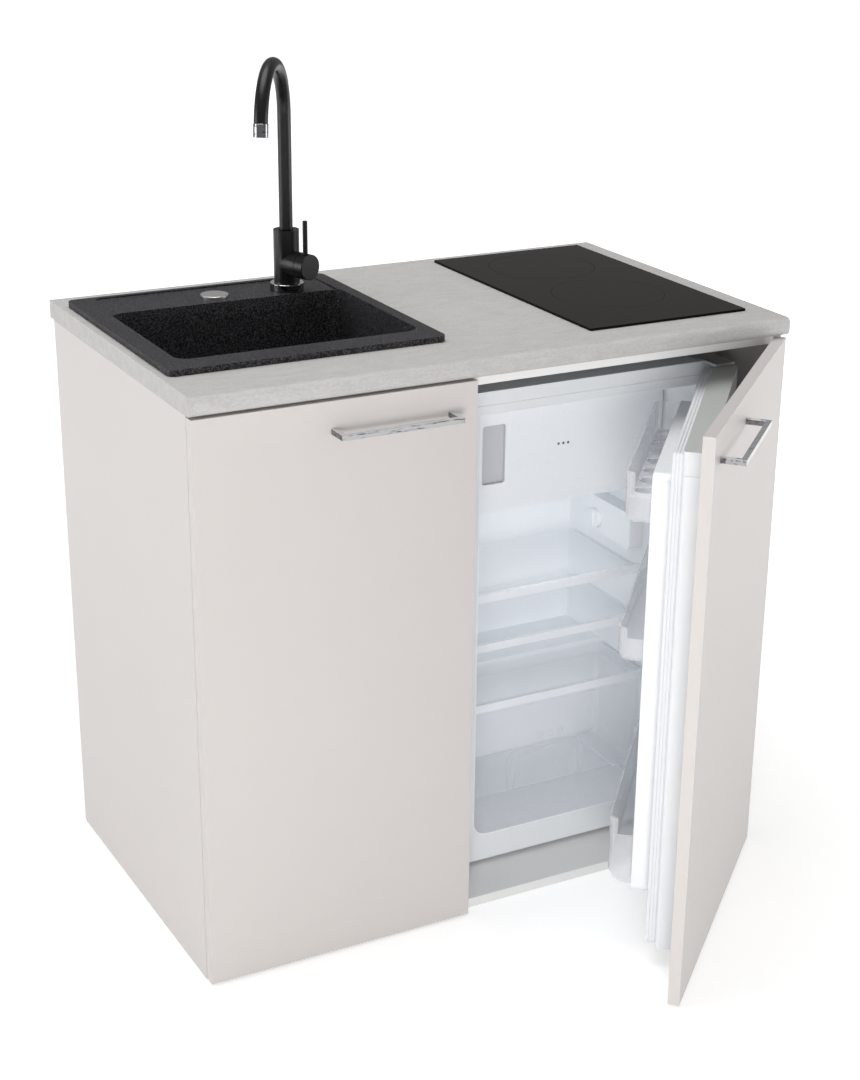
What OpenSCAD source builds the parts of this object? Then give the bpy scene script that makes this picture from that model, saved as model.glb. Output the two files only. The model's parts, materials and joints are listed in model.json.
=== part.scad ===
// Kitchenette unit: a base cabinet with a worktop, an inset sink with a mixer tap, a two-zone hob
// and an under-counter fridge behind the right front.
// X runs to the right, Y to the back, Z up. The origin is on the floor, at the middle of the worktop.
// The left front is closed. The right front and the fridge door behind it stand part open.

/* [Worktop] */
// Width of the unit
unit_w = 1000; // [980:5:1040]
// Depth of the worktop
top_d = 600; // [600:5:640]
// Height of the worktop's upper face
top_h = 922; // [915:1:960]
// Thickness of the worktop
top_t = 28; // [24:1:32]
// Radius of the worktop's rolled front edges
top_roll = 9; // [4:1:11]

/* [Carcass] */
// Thickness of the carcass boards
board_t = 16; // [15:1:18]
// How far the worktop reaches past the carcass at the back
top_back = 20; // [0:1:20]
// Distance from the unit's left side to the middle of the divider
split_w = 445; // [443:0.5:447]
// Depth of the flat rail under the worktop's front
front_rail_d = 50; // [40:1:56]
// Height of the upright rails at the back
rear_rail_h = 100; // [60:5:140]
// Thickness of the panel behind the left bay
back_t = 3; // [2.5:0.5:6]

/* [Fronts] */
// Thickness of the two fronts
front_t = 18; // [16:1:19]
// Gap between the closed fronts
front_gap = 6; // [3:0.5:8]
// How far the left front stops short of the unit's left side
left_reveal = 0.6; // [0.5:0.1:2]
// How far the right front stops short of the unit's right side
right_reveal = 6; // [5:0.5:7]
// Angle at which the right front stands
front_angle = 43.1; // [43.1:0.1:43.6]
// Length of a handle
handle_w = 194; // [128:1:220]
// Thickness of a handle's bar
handle_t = 8; // [6:0.5:10]
// How far a handle's outer face stands off its front
handle_reach = 36; // [30:1:40]
// Distance from a handle's end to the free edge of its front
handle_edge = 40; // [30:1:60]
// Distance from the fronts' upper edge to the handles' middle
handle_drop = 44; // [30:0.5:90]

/* [Front hinges] */
// Diameter of a hinge cup
cup_d = 35; // [30:1:35]
// Depth of a hinge cup in its front
cup_h = 12; // [10:0.5:12.5]
// Distance from a front's hinged edge to the middle of its cups
cup_edge = 22.5; // [21:0.5:23]
// Height of the lower hinges
hinge_low = 100; // [80:5:140]
// Distance from the fronts' upper edge to the upper hinges
hinge_drop = 131.5; // [100:0.5:150]

/* [Sink] */
// How far the sink reaches past the middle of the divider
sink_over = 4.5; // [2:0.5:7]
// Distance from the worktop's back to the sink
sink_back = 51; // [50:1:63]
// Distance from the unit's left side to the sink
sink_side = 12; // [11:0.5:12.5]
// Distance from the worktop's front to the sink
sink_front = 107; // [105:1:107]
// Height of the sink's rim above the worktop
rim_h = 9.5; // [8:0.5:12]
// Depth of the step down to the tap ledge
ledge_step = 2; // [1:0.5:4]
// Distance from the sink's right edge to the bowl
bowl_right = 19.5; // [19.5:0.5:26]
// Distance from the sink's back edge to the bowl
bowl_back = 104; // [104:1:116]
// Distance from the sink's left edge to the bowl
bowl_side = 31; // [30:1:31]
// Distance from the sink's front edge to the bowl
bowl_front = 46; // [42:1:46]
// Depth of the bowl below the rim
bowl_h = 171.5; // [150:0.5:190]
// Thickness of the bowl's walls
bowl_t = 7; // [6:0.5:8]
// How far the bowl's walls lean inwards
bowl_draft = 12; // [11:1:20]
// Radius of the bowl's corners
bowl_r = 22; // [16:1:26]
// Diameter of the waste hole
waste_d = 90; // [88:1:92]
// Outer diameter of the waste pipe
pipe_d = 40; // [32:1:40]
// Drop from the bowl's floor to the waste pipe's outlet
outlet_drop = 160; // [140:5:200]

/* [Tap] */
// Distance from the sink's right edge to the tap
tap_side = 94.5; // [90:0.5:98]
// Distance from the sink's back edge to the tap
tap_back = 73; // [66:0.5:73.5]
// Diameter of the tap's body
tap_d = 41.5; // [38:0.5:44]
// Height of the tap's body above its collar
tap_h = 85; // [82:0.5:95]
// Diameter of the chrome collar under the tap
ring_d = 54; // [50:1:55]
// Height of the chrome collar
ring_t = 12.5; // [8:0.5:14]
// Diameter of the threaded shank
shank_d = 33; // [28:1:33]
// Diameter of the spout's tube
spout_d = 21.5; // [20:0.5:24]
// Bore of the spout's tube
spout_bore = 16; // [12:0.5:16]
// Height of the straight tube above the body, up to where it bends
riser_h = 180; // [150:1:220]
// Reach of the spout, from the body's axis to its mouth
spout_reach = 172; // [160:1:180]
// How far the spout's bend stops short of a half turn
mouth_turn = 8; // [4:1:16]
// Direction of the spout, counted from +X
spout_az = 234.7; // [210:0.1:250]
// Direction of the side lever
lever_az = -69.8; // [-80:0.1:-60]
// Diameter of the side barrel and its cap
barrel_d = 41; // [36:1:42]
// Height of the barrel's axis above the collar
barrel_rise = 31.5; // [29:0.5:36]
// Length of the fixed barrel, from the body's axis
barrel_l = 35; // [32:0.5:38]
// Length of the turning cap
cap_l = 18.3; // [17:0.1:22]
// Diameter of the lever pin
pin_d = 8; // [6:0.5:10]
// Length of the lever pin above the cap
pin_l = 52.5; // [45:0.5:70]
// Diameter of the waste knob
knob_d = 45; // [40:1:48]
// Distance from the sink's left edge to the waste knob
knob_side = 221; // [200:1:240]
// Distance from the sink's back edge to the waste knob
knob_back = 65; // [60:1:72]

/* [Hob] */
// Width of the glass
glass_w = 289.5; // [280:0.5:300]
// Distance from the worktop's back to the glass
glass_back = 27; // [27:1:44]
// Thickness of the glass
glass_t = 4; // [4:0.5:6]
// Distance from the unit's right side to the glass
glass_side = 37.5; // [36:0.5:40]
// Distance from the worktop's front to the glass
glass_front = 66; // [64:1:66]
// How far the glass overlaps the cut-out
glass_lap = 10; // [10:0.5:12]
// Depth of the housing below the worktop's upper face
housing_h = 50; // [40:1:56]
// Diameter of the front cooking zone
zone_front_d = 145; // [140:1:150]
// Diameter of the rear cooking zone
zone_rear_d = 180; // [160:1:184]

/* [Fridge] */
// Gap between the fridge and the right side panel
fridge_side = 36; // [33:1:39]
// Gap between the fridge and the carcass's back
fridge_rear = 58; // [56:1:60]
// Gap between the fridge and the worktop
fridge_over = 60; // [56:1:66]
// Height of its feet
foot_h = 6; // [5:0.5:8]
// Gap between the divider and the fridge
fridge_gap = 20; // [18:0.5:22]
// Set-back of the fridge's front from the carcass front
fridge_back = 92; // [91.5:0.5:93]
// Thickness of the side walls
wall_side = 40; // [38:0.5:40]
// Thickness of the roof
wall_top = 38; // [34:1:42]
// Thickness of the floor
wall_floor = 48; // [44:1:52]
// Thickness of the back wall
wall_back = 47; // [44:1:50]
// Thickness of the walls round the compressor step
wall_step = 40; // [36:1:42]
// Thickness of the inner liner
liner_t = 2.5; // [2:0.5:3]
// Depth of the step over the compressor
step_d = 115; // [112:1:116]
// Height of the step above the inner floor
step_h = 186; // [184:1:196]
// Radius of the liner's lower corners
liner_r = 24; // [16:1:28]

/* [Fridge inside] */
// Height of the freezer compartment
freezer_h = 183; // [180:1:190]
// Thickness of the freezer's floor
freezer_floor = 10; // [8:0.5:12]
// Set-back of the freezer flap from the fridge's front
flap_back = 84; // [83:0.5:86]
// Thickness of the freezer flap
flap_t = 18; // [14:1:20]
// Thickness of the glass shelves
shelf_t = 4; // [3:0.5:5]
// Gap behind the upper shelf
shelf_gap = 18; // [13:1:33]
// Height of the upper shelf above the inner floor
shelf_high = 362; // [350:1:380]
// Height of the lower shelf above the inner floor
shelf_low = 276; // [268:1:284]
// Set-back of the upper shelf from the fridge's front
shelf_high_back = 130; // [126:1:136]
// Set-back of the lower shelf from the fridge's front
shelf_low_back = 122; // [120:1:126]
// Set-back of the cover over the drawer
cover_back = 90; // [89:0.5:92]
// Gap between the step and the drawer with its cover
cover_gap = 15; // [15:1:20]
// Height of the white trim along a shelf's front
trim_h = 14; // [12:1:16]
// Depth of that trim
trim_d = 8; // [6:0.5:10]
// Gap between the vegetable drawer and its cover
drawer_gap = 16; // [12:1:26]
// Set-back of the drawer from the fridge's front
drawer_back = 96; // [95:0.5:98]
// Thickness of the drawer's and the bins' walls
clear_t = 2.5; // [2:0.5:3]
// Diameter of the thermostat dial
dial_d = 34; // [30:1:36]

/* [Fridge door] */
// Thickness of the door's shell
door_t = 37; // [35:0.5:38]
// Distance from the door's outer face back to its hinge axis
pivot_d = 22; // [20:0.5:22]
// Distance from the door's right side to its hinge axis
pivot_s = 10; // [10:0.5:11]
// Angle at which the fridge door stands
door_angle = 49.3; // [48.8:0.1:49.5]
// Gap under the door, above the cabinet's lower edge
door_lift = 11; // [10.5:0.5:13]
// Height of the door above the cabinet's roof
door_over = 1; // [0:0.5:1.5]
// Thickness of the gasket
gasket_t = 15; // [13:0.5:15]
// Width of the gasket
gasket_w = 14; // [12:1:16]
// How far the liner's raised part stands off the hinge axis
raise_d = 61; // [58:0.5:62]
// Depth of the bins' outer faces from the hinge axis
bin_d = 100; // [94:1:100]
// Distance from the inner roof down to the upper bin's floor
bin_upper_drop = 88; // [84:1:96]
// Height of the upper bin
bin_upper_h = 74; // [60:1:74]
// Height of the middle bin's floor above the inner floor
bin_middle_z = 420; // [400:1:440]
// Height of the middle bin
bin_middle_h = 50; // [40:1:60]
// Height of the lower bin
bin_lower_h = 111; // [90:1:120]
// Diameter of the hinge pins
hinge_pin_d = 8; // [6:0.5:8]
// Outer diameter of the hinge bushes
bush_d = 14; // [12:0.5:14]
// Distance from the hinge axis to the slide brackets
slide_s = 155; // [154:0.5:156]
// Height of the lower slide bracket
slide_low = 210; // [190:5:240]
// Distance from the door's upper edge to the upper slide bracket
slide_drop = 195; // [175:5:235]

/* [Hidden] */
$fn = 64;

// Clearances
fit = 0.3; // between pieces that only rest against each other
turn_fit = 0.05; // radial play of a turning pin in its bore
front_play = 2; // between the fronts' inner faces and the carcass
floor_play = 3; // under the fronts
top_play = 2.5; // above the fronts
cut_play = 10; // between the rim's edge and the cut-out
over = 1; // how far a cutting shape runs past what it cuts

// Colours
front_white = [0.87, 0.85, 0.83];
board_white = [0.92, 0.92, 0.92];
plastic_white = [0.95, 0.96, 0.97];
clear_blue = [0.82, 0.9, 0.95, 0.5];
stone_grey = [0.76, 0.75, 0.73];
granite = [0.14, 0.14, 0.15];
matt_black = [0.08, 0.08, 0.08];
steel = [0.72, 0.73, 0.75];
chrome = [0.85, 0.86, 0.88];
dark_grey = [0.3, 0.3, 0.32];

// Main planes
left_x = -unit_w / 2;
right_x = unit_w / 2;
front_y = -top_d / 2;
under_z = top_h - top_t;
carcass_y0 = front_y + front_t + front_play;
carcass_y1 = front_y + top_d - top_back;
inner_left = left_x + board_t;
inner_right = right_x - board_t;
split_x = left_x + split_w;
divider_x0 = split_x - board_t / 2;
divider_x1 = split_x + board_t / 2;
front_z0 = floor_play;
front_z1 = under_z - top_play;
handle_z = front_z1 - handle_drop;
screw_d = 4.5; // of the handles' screws
hinge_high = front_z1 - hinge_drop;
hinge_zs = [hinge_low, hinge_high];
link_in = 20; // the hinge links, from the front's outer face
link_out = 35;
link_l = 13;
link_h = 12;
link_at = 13;
arm_t = 15;
arm_plate_t = 2;
arm_plate_h = 60;
arm_body_h = 16;
prong_t = 3;
cup_wall = 3;
cup_floor = 1.5;
cup_plate_w = 18;
left_front_w = split_w - front_gap / 2 - left_reveal;
right_front_w = unit_w - split_w - front_gap / 2 - right_reveal;
left_pivot = [left_x + left_reveal, front_y];
right_pivot = [right_x - right_reveal, front_y];

wall_hole_side = 40;
wall_hole_drop = 40;
wall_hole_d = 6;

// Sink and tap
sink_x0 = left_x + sink_side;
sink_x1 = split_x + sink_over;
sink_y0 = front_y + sink_front;
sink_y1 = front_y + top_d - sink_back;
sink_r = 12;
ledge_left = 33; // sunk ledge to the sink's edges
ledge_right = 24;
ledge_back = 9;
rim_z = top_h + rim_h;
ledge_z = rim_z - ledge_step;
bowl_x0 = sink_x0 + bowl_side;
bowl_x1 = sink_x1 - bowl_right;
bowl_y0 = sink_y0 + bowl_front;
bowl_y1 = sink_y1 - bowl_back;
bowl_z = rim_z - bowl_h;
outlet_z = bowl_z - outlet_drop;
pipe_wall = 2;
pipe_bore = pipe_d - 2 * pipe_wall;
pipe_out = 14; // how far the pipe passes the back panel
collar_d = pipe_d + 12; // the pipe's nuts
bottle_d = pipe_d + 32;
bottle_top = 30; // above the outlet
bottle_low = 80; // below the outlet
bottle_wall = 3;
lid_h = 12;
waste_at = [(bowl_x0 + bowl_x1) / 2, (bowl_y0 + bowl_y1) / 2];
flange_t = 2.5;
flange_d = waste_d + 22;
strainer_d = waste_d - 2;
strainer_h = 40;
strainer_bore = strainer_d - 6;
tail_d = pipe_d + 8;
tail_h = 22;
seat_z = bowl_z - strainer_h + 18;
tap_at = [sink_x1 - tap_side, sink_y1 - tap_back, ledge_z];
body_z0 = ring_t;
body_z1 = body_z0 + tap_h;
stem_depth = 24;
riser_z = body_z1 + riser_h;
barrel_z = body_z0 + barrel_rise;
cap_l0 = barrel_l + fit;
cap_wall = 4;
pin_at = cap_l0 + 7.4;
aerator_h = 20;
aerator_d = spout_d + 1.5;
nut_d = shank_d + 9;
hole_play = 2;
nut_h = 9;
bend_r = spout_reach / 2;
spindle_d = 10;
spindle_h = 32;
spindle_depth = 21.5;
shank_h = 50;
inlet_r = 4.5;
inlet_l = 14;
inlet_at = 7;
rod_seat = 3.2;
knob_at = [sink_x0 + knob_side, sink_y1 - knob_back];
knob_t = 3.7;
knob_stem_d = 8;
knob_stem_h = 16;

// Hob
glass_x1 = right_x - glass_side;
glass_x0 = glass_x1 - glass_w;
glass_y0 = front_y + glass_front;
glass_y1 = front_y + top_d - glass_back;
cut_x0 = glass_x0 + glass_lap;
cut_x1 = glass_x1 - glass_lap;
cut_y0 = glass_y0 + glass_lap;
cut_y1 = glass_y1 - glass_lap;
housing_play = 3;
housing_t = 1;
housing_z = top_h - housing_h;
zone_x = (glass_x0 + glass_x1) / 2;
hob_a = [cut_x0 + housing_play, cut_y0 + housing_play, housing_z];
hob_b = [cut_x1 - housing_play, cut_y1 - housing_play, top_h];
zone_front_y = hob_a[1] + 67 + zone_front_d / 2;
zone_rear_y = hob_b[1] - 16 - zone_rear_d / 2;
heater_h = 22;
heater_wall = 6;
heater_floor = 9;
wire_d = 4;
gland_d = 18;
gland_wall = 3;
gland_at = [hob_a[0] + 50, hob_b[1], housing_z + 16];
keys_w = 180; // the touch keys' board
keys_d = 38;
key_d = 16;
key_pitch = 42;
clamp_w = 20;
clamp_t = 1.5;
clamp_side = 90; // from the cut-out's ends

// Fridge cabinet
fridge_x0 = divider_x1 + fridge_gap;
fridge_x1 = inner_right - fridge_side;
fridge_y0 = carcass_y0 + fridge_back;
fridge_y1 = carcass_y1 - fridge_rear;
fridge_z0 = board_t + foot_h;
fridge_z1 = under_z - fridge_over;
room_x0 = fridge_x0 + wall_side;
room_x1 = fridge_x1 - wall_side;
room_y1 = fridge_y1 - wall_back;
room_z0 = fridge_z0 + wall_floor;
room_z1 = fridge_z1 - wall_top;
step_y = room_y1 - step_d;
step_z = room_z0 + step_h;
skin_t = 3;
notch_y = step_y + wall_step;
notch_z = step_z - wall_step;
tray_t = 2;
groove_z = fridge_z1 - 21;
comp_at = [fridge_x1 - 110, fridge_y1 - 56];
comp_z = fridge_z0 + tray_t;
comp_r = 46;
comp_h = 108;
comp_edge = 16;
comp_foot_h = 10;
grid_tube = 5;
grid_pitch = 50;
grid_rows = 9;

// Fridge inside
freezer_z0 = room_z1 - freezer_h;
flap_y0 = fridge_y0 + flap_back;
flap_side = 3;
flap_pivot = [room_x1 - flap_side - 5, flap_y0 + 6];
flap_pin_d = 5;
flap_pin_h = 6;
flap_z0 = freezer_z0 + fit;
flap_z1 = room_z1 - fit;
rib_w = 6;
rib_h = 6;
shelf_play = 1;
shelf_d = room_y1 - shelf_gap - fridge_y0 - shelf_high_back;
upper = [room_z0 + shelf_high, fridge_y0 + shelf_high_back, shelf_d];
lower = [room_z0 + shelf_low, fridge_y0 + shelf_low_back, shelf_d];
cover = [step_z - shelf_t, fridge_y0 + cover_back, step_y - cover_gap - fridge_y0 - cover_back];
drawer_side = 9;
drawer_x0 = room_x0 + drawer_side;
drawer_x1 = room_x1 - drawer_side;
drawer_y0 = fridge_y0 + drawer_back;
drawer_y1 = step_y - cover_gap;
drawer_z0 = room_z0 + rib_h;
drawer_z1 = cover[0] - drawer_gap;
grip_w = 160; // the drawer's arch
grip_h = 74;
grip_line = 12;
housing_w = 28;
lamp_y0 = fridge_y0 + 128;
lamp_y1 = lamp_y0 + 150;
lamp_h = 65;
lamp_room = freezer_z0 - freezer_floor - upper[0] - shelf_t; // it sits a third of the way up this
lamp_z0 = upper[0] + shelf_t + (lamp_room - lamp_h) / 3;
lamp_z1 = lamp_z0 + lamp_h;
dial_stem_d = 8;
dial_h = 8;
dial_at = [lamp_y0 + 105, lamp_z0 + 26];

// Fridge door, drawn shut about its hinge axis: X runs from the axis to the right, Y to the back
door_y0 = -pivot_d;
door_y1 = door_t - pivot_d;
door_gap = 1; // between the shut door's gasket and the cabinet
door_pivot = [fridge_x1 - pivot_s, fridge_y0 - door_y1 - gasket_t - door_gap];
door_x0 = fridge_x0 - door_pivot[0];
door_x1 = pivot_s;
door_z0 = fridge_z0 + door_lift;
door_z1 = fridge_z1 + door_over;
door_r = 6;
seam_z = door_z1 - 35;
bush_h = 13;
slide_high = door_z1 - slide_drop;
slide_zs = [slide_low, slide_high];
hinge_plate_t = 4;
hinge_plate_w = 36;
hinge_plate_d = 60;
raise_x1 = -36;
raise_x0 = door_x0 + 45;
raise_z0 = room_z0 + 30;
raise_z1 = room_z1 - 13;
dyke = 24;
dyke_free = 20;
pocket_d = 22;
pocket_x0 = raise_x0 + dyke_free;
pocket_x1 = raise_x1 - dyke;
pocket_z0 = raise_z0 + 12.4;
bin_x0 = raise_x0 + 4;
bin_x1 = raise_x1 - 14;
bin_r = 15;
bin_roll = 16;
bin_lower_roll = 30;
dip_upper = 30; // how far a bin's ends lie below its rim
dip_middle = 16;
dip_lower = 28;
shoe_r = 6;
shoe_play = 0.5;
shoe_h = 14;
// The shoe's depth puts it by the front's inner face where both stand
lag = door_angle - front_angle;
pivots = door_pivot - right_pivot;
pivot_y = pivots[1] * cos(front_angle) - pivots[0] * sin(front_angle);
shoe_y = (front_t + shoe_play + shoe_r - pivot_y + slide_s * sin(lag)) / cos(lag);
rail_gap = 16;
rail_lip = 4;
rail_d = 10;
rail_s0 = 60;
rail_s1 = 240;

// ---------------------------------------------------------------- shared shapes

// A box between two opposite corners
module block(a, b) {
    translate(a) cube(b - a);
}

// A flat outline drawn in Y and Z, run along X
module along_x(x0, x1) {
    translate([x0, 0, 0]) rotate([90, 0, 90]) linear_extrude(x1 - x0) children();
}

// A flat outline drawn in X and Z, run along Y
module along_y(y0, y1) {
    translate([0, y1, 0]) rotate([90, 0, 0]) linear_extrude(y1 - y0) children();
}

// A rectangle with round corners
module round_rect(a, b, r) {
    translate([a[0] + r, a[1]]) square([b[0] - a[0] - 2 * r, b[1] - a[1]]);
    translate([a[0], a[1] + r]) square([b[0] - a[0], b[1] - a[1] - 2 * r]);
    for (x = [a[0] + r, b[0] - r], y = [a[1] + r, b[1] - r]) translate([x, y]) circle(r);
}

// A plate with round corners as seen from above
module slab(a, b, r) {
    translate([0, 0, a[2]]) linear_extrude(b[2] - a[2]) round_rect([a[0], a[1]], [b[0], b[1]], r);
}

// An upright cylinder at a place, between two heights
module post(at, z0, z1, d) {
    translate([at[0], at[1], z0]) cylinder(d = d, h = z1 - z0);
}

// Carries what is drawn shut about the right front's pivot to where that front stands
module on_right_front() {
    translate([right_pivot[0], right_pivot[1], 0]) rotate([0, 0, front_angle]) children();
}

// The same for the fridge door
module on_fridge_door() {
    translate([door_pivot[0], door_pivot[1], 0]) rotate([0, 0, door_angle]) children();
}

module on_left_front() {
    translate([left_pivot[0], left_pivot[1], 0]) children();
}

// ---------------------------------------------------------------- carcass

module side_panel_left() {
    color(front_white) block([left_x, carcass_y0, 0], [inner_left, carcass_y1, under_z]);
}

module side_panel_right() {
    color(front_white) block([inner_right, carcass_y0, 0], [right_x, carcass_y1, under_z]);
}

module centre_divider() {
    color(board_white) block([divider_x0, carcass_y0, board_t], [divider_x1, carcass_y1, under_z]);
}

module base_panel() {
    color(board_white) block([inner_left, carcass_y0, 0], [inner_right, carcass_y1, board_t]);
}

module back_panel() {
    color(board_white) difference() {
        block([left_x, carcass_y1, 0], [divider_x1, carcass_y1 + back_t, under_z]);
        translate([waste_at[0], carcass_y1 - over, outlet_z]) rotate([-90, 0, 0])
            cylinder(d = pipe_d + 14, h = back_t + 2 * over);
        for (x = [left_x + board_t + wall_hole_side, divider_x0 - wall_hole_side])
            translate([x, carcass_y1 - over, under_z - wall_hole_drop]) rotate([-90, 0, 0])
                cylinder(d = wall_hole_d, h = back_t + 2 * over);
    }
}

module front_rails() {
    color(board_white) for (x = [[inner_left, divider_x0], [divider_x1, inner_right]])
        block([x[0], carcass_y0, under_z - board_t], [x[1], carcass_y0 + front_rail_d, under_z]);
}

// Each rear rail has two holes, for screws into the wall
module rear_rails() {
    color(board_white) for (x = [[inner_left, divider_x0], [divider_x1, inner_right]])
        difference() {
            block([x[0], carcass_y1 - board_t, under_z - rear_rail_h], [x[1], carcass_y1, under_z]);
            for (at = [x[0] + wall_hole_side, x[1] - wall_hole_side])
                translate([at, carcass_y1 - board_t - over, under_z - wall_hole_drop]) rotate([-90, 0, 0])
                    cylinder(d = wall_hole_d, h = board_t + 2 * over);
        }
}

// ---------------------------------------------------------------- worktop

// The worktop's section: a board with two rolled front edges
module worktop_section() {
    translate([front_y + top_roll, under_z]) square([top_d - top_roll, top_t]);
    translate([front_y, under_z + top_roll]) square([top_d / 2, top_t - 2 * top_roll]);
    for (z = [under_z + top_roll, top_h - top_roll])
        translate([front_y + top_roll, z]) circle(top_roll);
}

module worktop() {
    color(stone_grey) difference() {
        along_x(left_x, right_x) worktop_section();
        slab([sink_x0 + cut_play, sink_y0 + cut_play, under_z - over],
             [sink_x1 - cut_play, sink_y1 - cut_play, top_h + over], 8);
        slab([cut_x0, cut_y0, under_z - over], [cut_x1, cut_y1, top_h + over], 5);
    }
}

// ---------------------------------------------------------------- sink

// The bowl's hollow, grown by its wall. Its corners lean in and end in round feet.
module bowl_form(grow, top_z) {
    r = bowl_r + grow;
    inset = bowl_draft + bowl_r;
    hull() {
        for (x = [bowl_x0 + bowl_r, bowl_x1 - bowl_r], y = [bowl_y0 + bowl_r, bowl_y1 - bowl_r])
            translate([x, y, top_z - 0.1]) cylinder(r = r, h = 0.1, $fn = 32);
        for (x = [bowl_x0 + inset, bowl_x1 - inset], y = [bowl_y0 + inset, bowl_y1 - inset])
            translate([x, y, bowl_z + bowl_r]) sphere(r = r, $fn = 32);
    }
}

module sink_bowl() {
    color(granite) difference() {
        union() {
            slab([sink_x0, sink_y0, top_h], [sink_x1, sink_y1, rim_z], sink_r);
            bowl_form(bowl_t, top_h + over);
        }
        bowl_form(0, rim_z);
        slab([sink_x0 + ledge_left, bowl_y1 - bowl_r, ledge_z],
             [sink_x1 - ledge_right, sink_y1 - ledge_back, rim_z + over], 10);
        post(waste_at, bowl_z - bowl_t - over, bowl_z + over, waste_d);
        post(tap_at, top_h - over, rim_z + over, shank_d + hole_play);
        post(knob_at, top_h - over, rim_z + over, knob_stem_d + 2 * turn_fit);
    }
}

// A clip: a leg in the cut-out and a foot that bears up under the worktop
module sink_clip(x, edge_y, side) {
    foot = 14;
    leg = 2;
    block([x - 9, min(edge_y - side * leg, edge_y), under_z - 4],
          [x + 9, max(edge_y - side * leg, edge_y), top_h]);
    block([x - 9, min(edge_y - side * leg, edge_y + side * foot), under_z - 4],
          [x + 9, max(edge_y - side * leg, edge_y + side * foot), under_z]);
}

module sink_clips() {
    color(steel) for (x = [sink_x0 + 70, sink_x1 - 110]) {
        sink_clip(x, sink_y0 + cut_play, -1);
        sink_clip(x, sink_y1 - cut_play, 1);
    }
}

// Strainer body: a flange on the bowl's floor, a cup through it and a threaded tail
module waste_flange() {
    color(chrome) difference() {
        union() {
            post(waste_at, bowl_z + fit, bowl_z + flange_t, flange_d);
            post(waste_at, bowl_z - strainer_h, bowl_z + flange_t, strainer_d);
            post(waste_at, bowl_z - strainer_h - tail_h, bowl_z, tail_d);
            post(waste_at, bowl_z - bowl_t - 8, bowl_z - bowl_t, flange_d);
        }
        post(waste_at, seat_z, bowl_z + flange_t + over, strainer_bore);
        post(waste_at, bowl_z - strainer_h + 3, seat_z + over, strainer_bore - 10);
        post(waste_at, bowl_z - strainer_h - tail_h - over, seat_z, pipe_d - 4);
    }
}

module strainer_plug() {
    color(chrome) {
        post(waste_at, seat_z + fit, seat_z + 4, strainer_bore - 2);
        post(waste_at, seat_z + 4, seat_z + 14, 10);
        post(waste_at, seat_z + 14, seat_z + 17, 18);
    }
}

// A level stretch of waste pipe between two depths
module waste_pipe(y0, y1, d) {
    translate([waste_at[0], y0, outlet_z]) rotate([-90, 0, 0]) cylinder(d = d, h = y1 - y0);
}

// Bottle trap: a coupling nut, a drop pipe, the bottle, and the outlet pipe to the wall
module bottle_trap() {
    nut_z = bowl_z - strainer_h - tail_h;
    pipe_y1 = carcass_y1 + back_t + pipe_out;
    color(plastic_white) difference() {
        union() {
            post(waste_at, nut_z - 14, nut_z + 12, tail_d + 12);
            post(waste_at, outlet_z, nut_z, pipe_d);
            post(waste_at, outlet_z - bottle_low, outlet_z + bottle_top, bottle_d);
            post(waste_at, outlet_z - bottle_low - lid_h, outlet_z - bottle_low, bottle_d + 8);
            waste_pipe(waste_at[1], pipe_y1, pipe_d);
            waste_pipe(waste_at[1] + bottle_d / 2 - 4, waste_at[1] + bottle_d / 2 + 20, collar_d);
            waste_pipe(carcass_y1 - 44, carcass_y1 - 24, collar_d);
        }
        post(waste_at, nut_z, nut_z + 12 + over, tail_d);
        post(waste_at, outlet_z - 60, nut_z + over, pipe_bore);
        post(waste_at, outlet_z - bottle_low - lid_h / 2, outlet_z + bottle_top - 6, bottle_d - 2 * bottle_wall);
        waste_pipe(waste_at[1], pipe_y1 + over, pipe_bore);
    }
}

module waste_knob() {
    color(chrome) {
        post(knob_at, ledge_z + fit, ledge_z + fit + knob_t, knob_d);
        post(knob_at, top_h - knob_stem_h, ledge_z + fit + over, knob_stem_d);
    }
}

// ---------------------------------------------------------------- tap

module faucet_ring() {
    color(chrome) translate(tap_at) difference() {
        cylinder(d = ring_d, h = ring_t);
        translate([0, 0, -over]) cylinder(d = shank_d, h = ring_t + 2 * over);
    }
}

// Lays what is drawn along Z out along the lever's barrel
module along_barrel() {
    translate(tap_at + [0, 0, barrel_z]) rotate([0, 0, lever_az]) rotate([0, 90, 0]) children();
}

module faucet_body() {
    color(matt_black) difference() {
        union() {
            translate(tap_at + [0, 0, body_z0]) cylinder(d = tap_d, h = tap_h);
            along_barrel() cylinder(d = barrel_d, h = barrel_l);
            translate(tap_at - [0, 0, shank_h]) cylinder(d = shank_d, h = shank_h + body_z0 + over);
        }
        translate(tap_at + [0, 0, body_z1 - stem_depth])
            cylinder(d = spout_d + 2 * turn_fit, h = stem_depth + over);
        along_barrel() translate([0, 0, barrel_l - spindle_depth - 0.5])
            cylinder(d = spindle_d + 2 * turn_fit, h = spindle_depth + 0.5 + over);
        for (side = [-1, 1]) translate(tap_at + [side * inlet_at, 0, -shank_h - over])
            cylinder(r = inlet_r, h = inlet_l + over);
    }
}

module faucet_nut() {
    color(steel) translate([tap_at[0], tap_at[1], top_h - nut_h]) difference() {
        cylinder(d = nut_d, h = nut_h);
        translate([0, 0, -over]) cylinder(d = shank_d, h = nut_h + 2 * over);
    }
}

// Riser and bend, as one bent tube. The bend ends at the turn given.
module spout_tube(d, z0, turn) {
    post([0, 0], z0, riser_z, d);
    translate([bend_r, 0, riser_z]) mirror([1, 0, 0]) rotate([90, 0, 0])
        rotate_extrude(angle = 180 - turn) translate([bend_r, 0]) circle(d = d);
}

// Carries what is drawn about Z to the bend's end, square to it
module at_mouth() {
    translate([bend_r, 0, riser_z]) rotate([0, -mouth_turn, 0]) translate([bend_r, 0, 0]) children();
}

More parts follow.
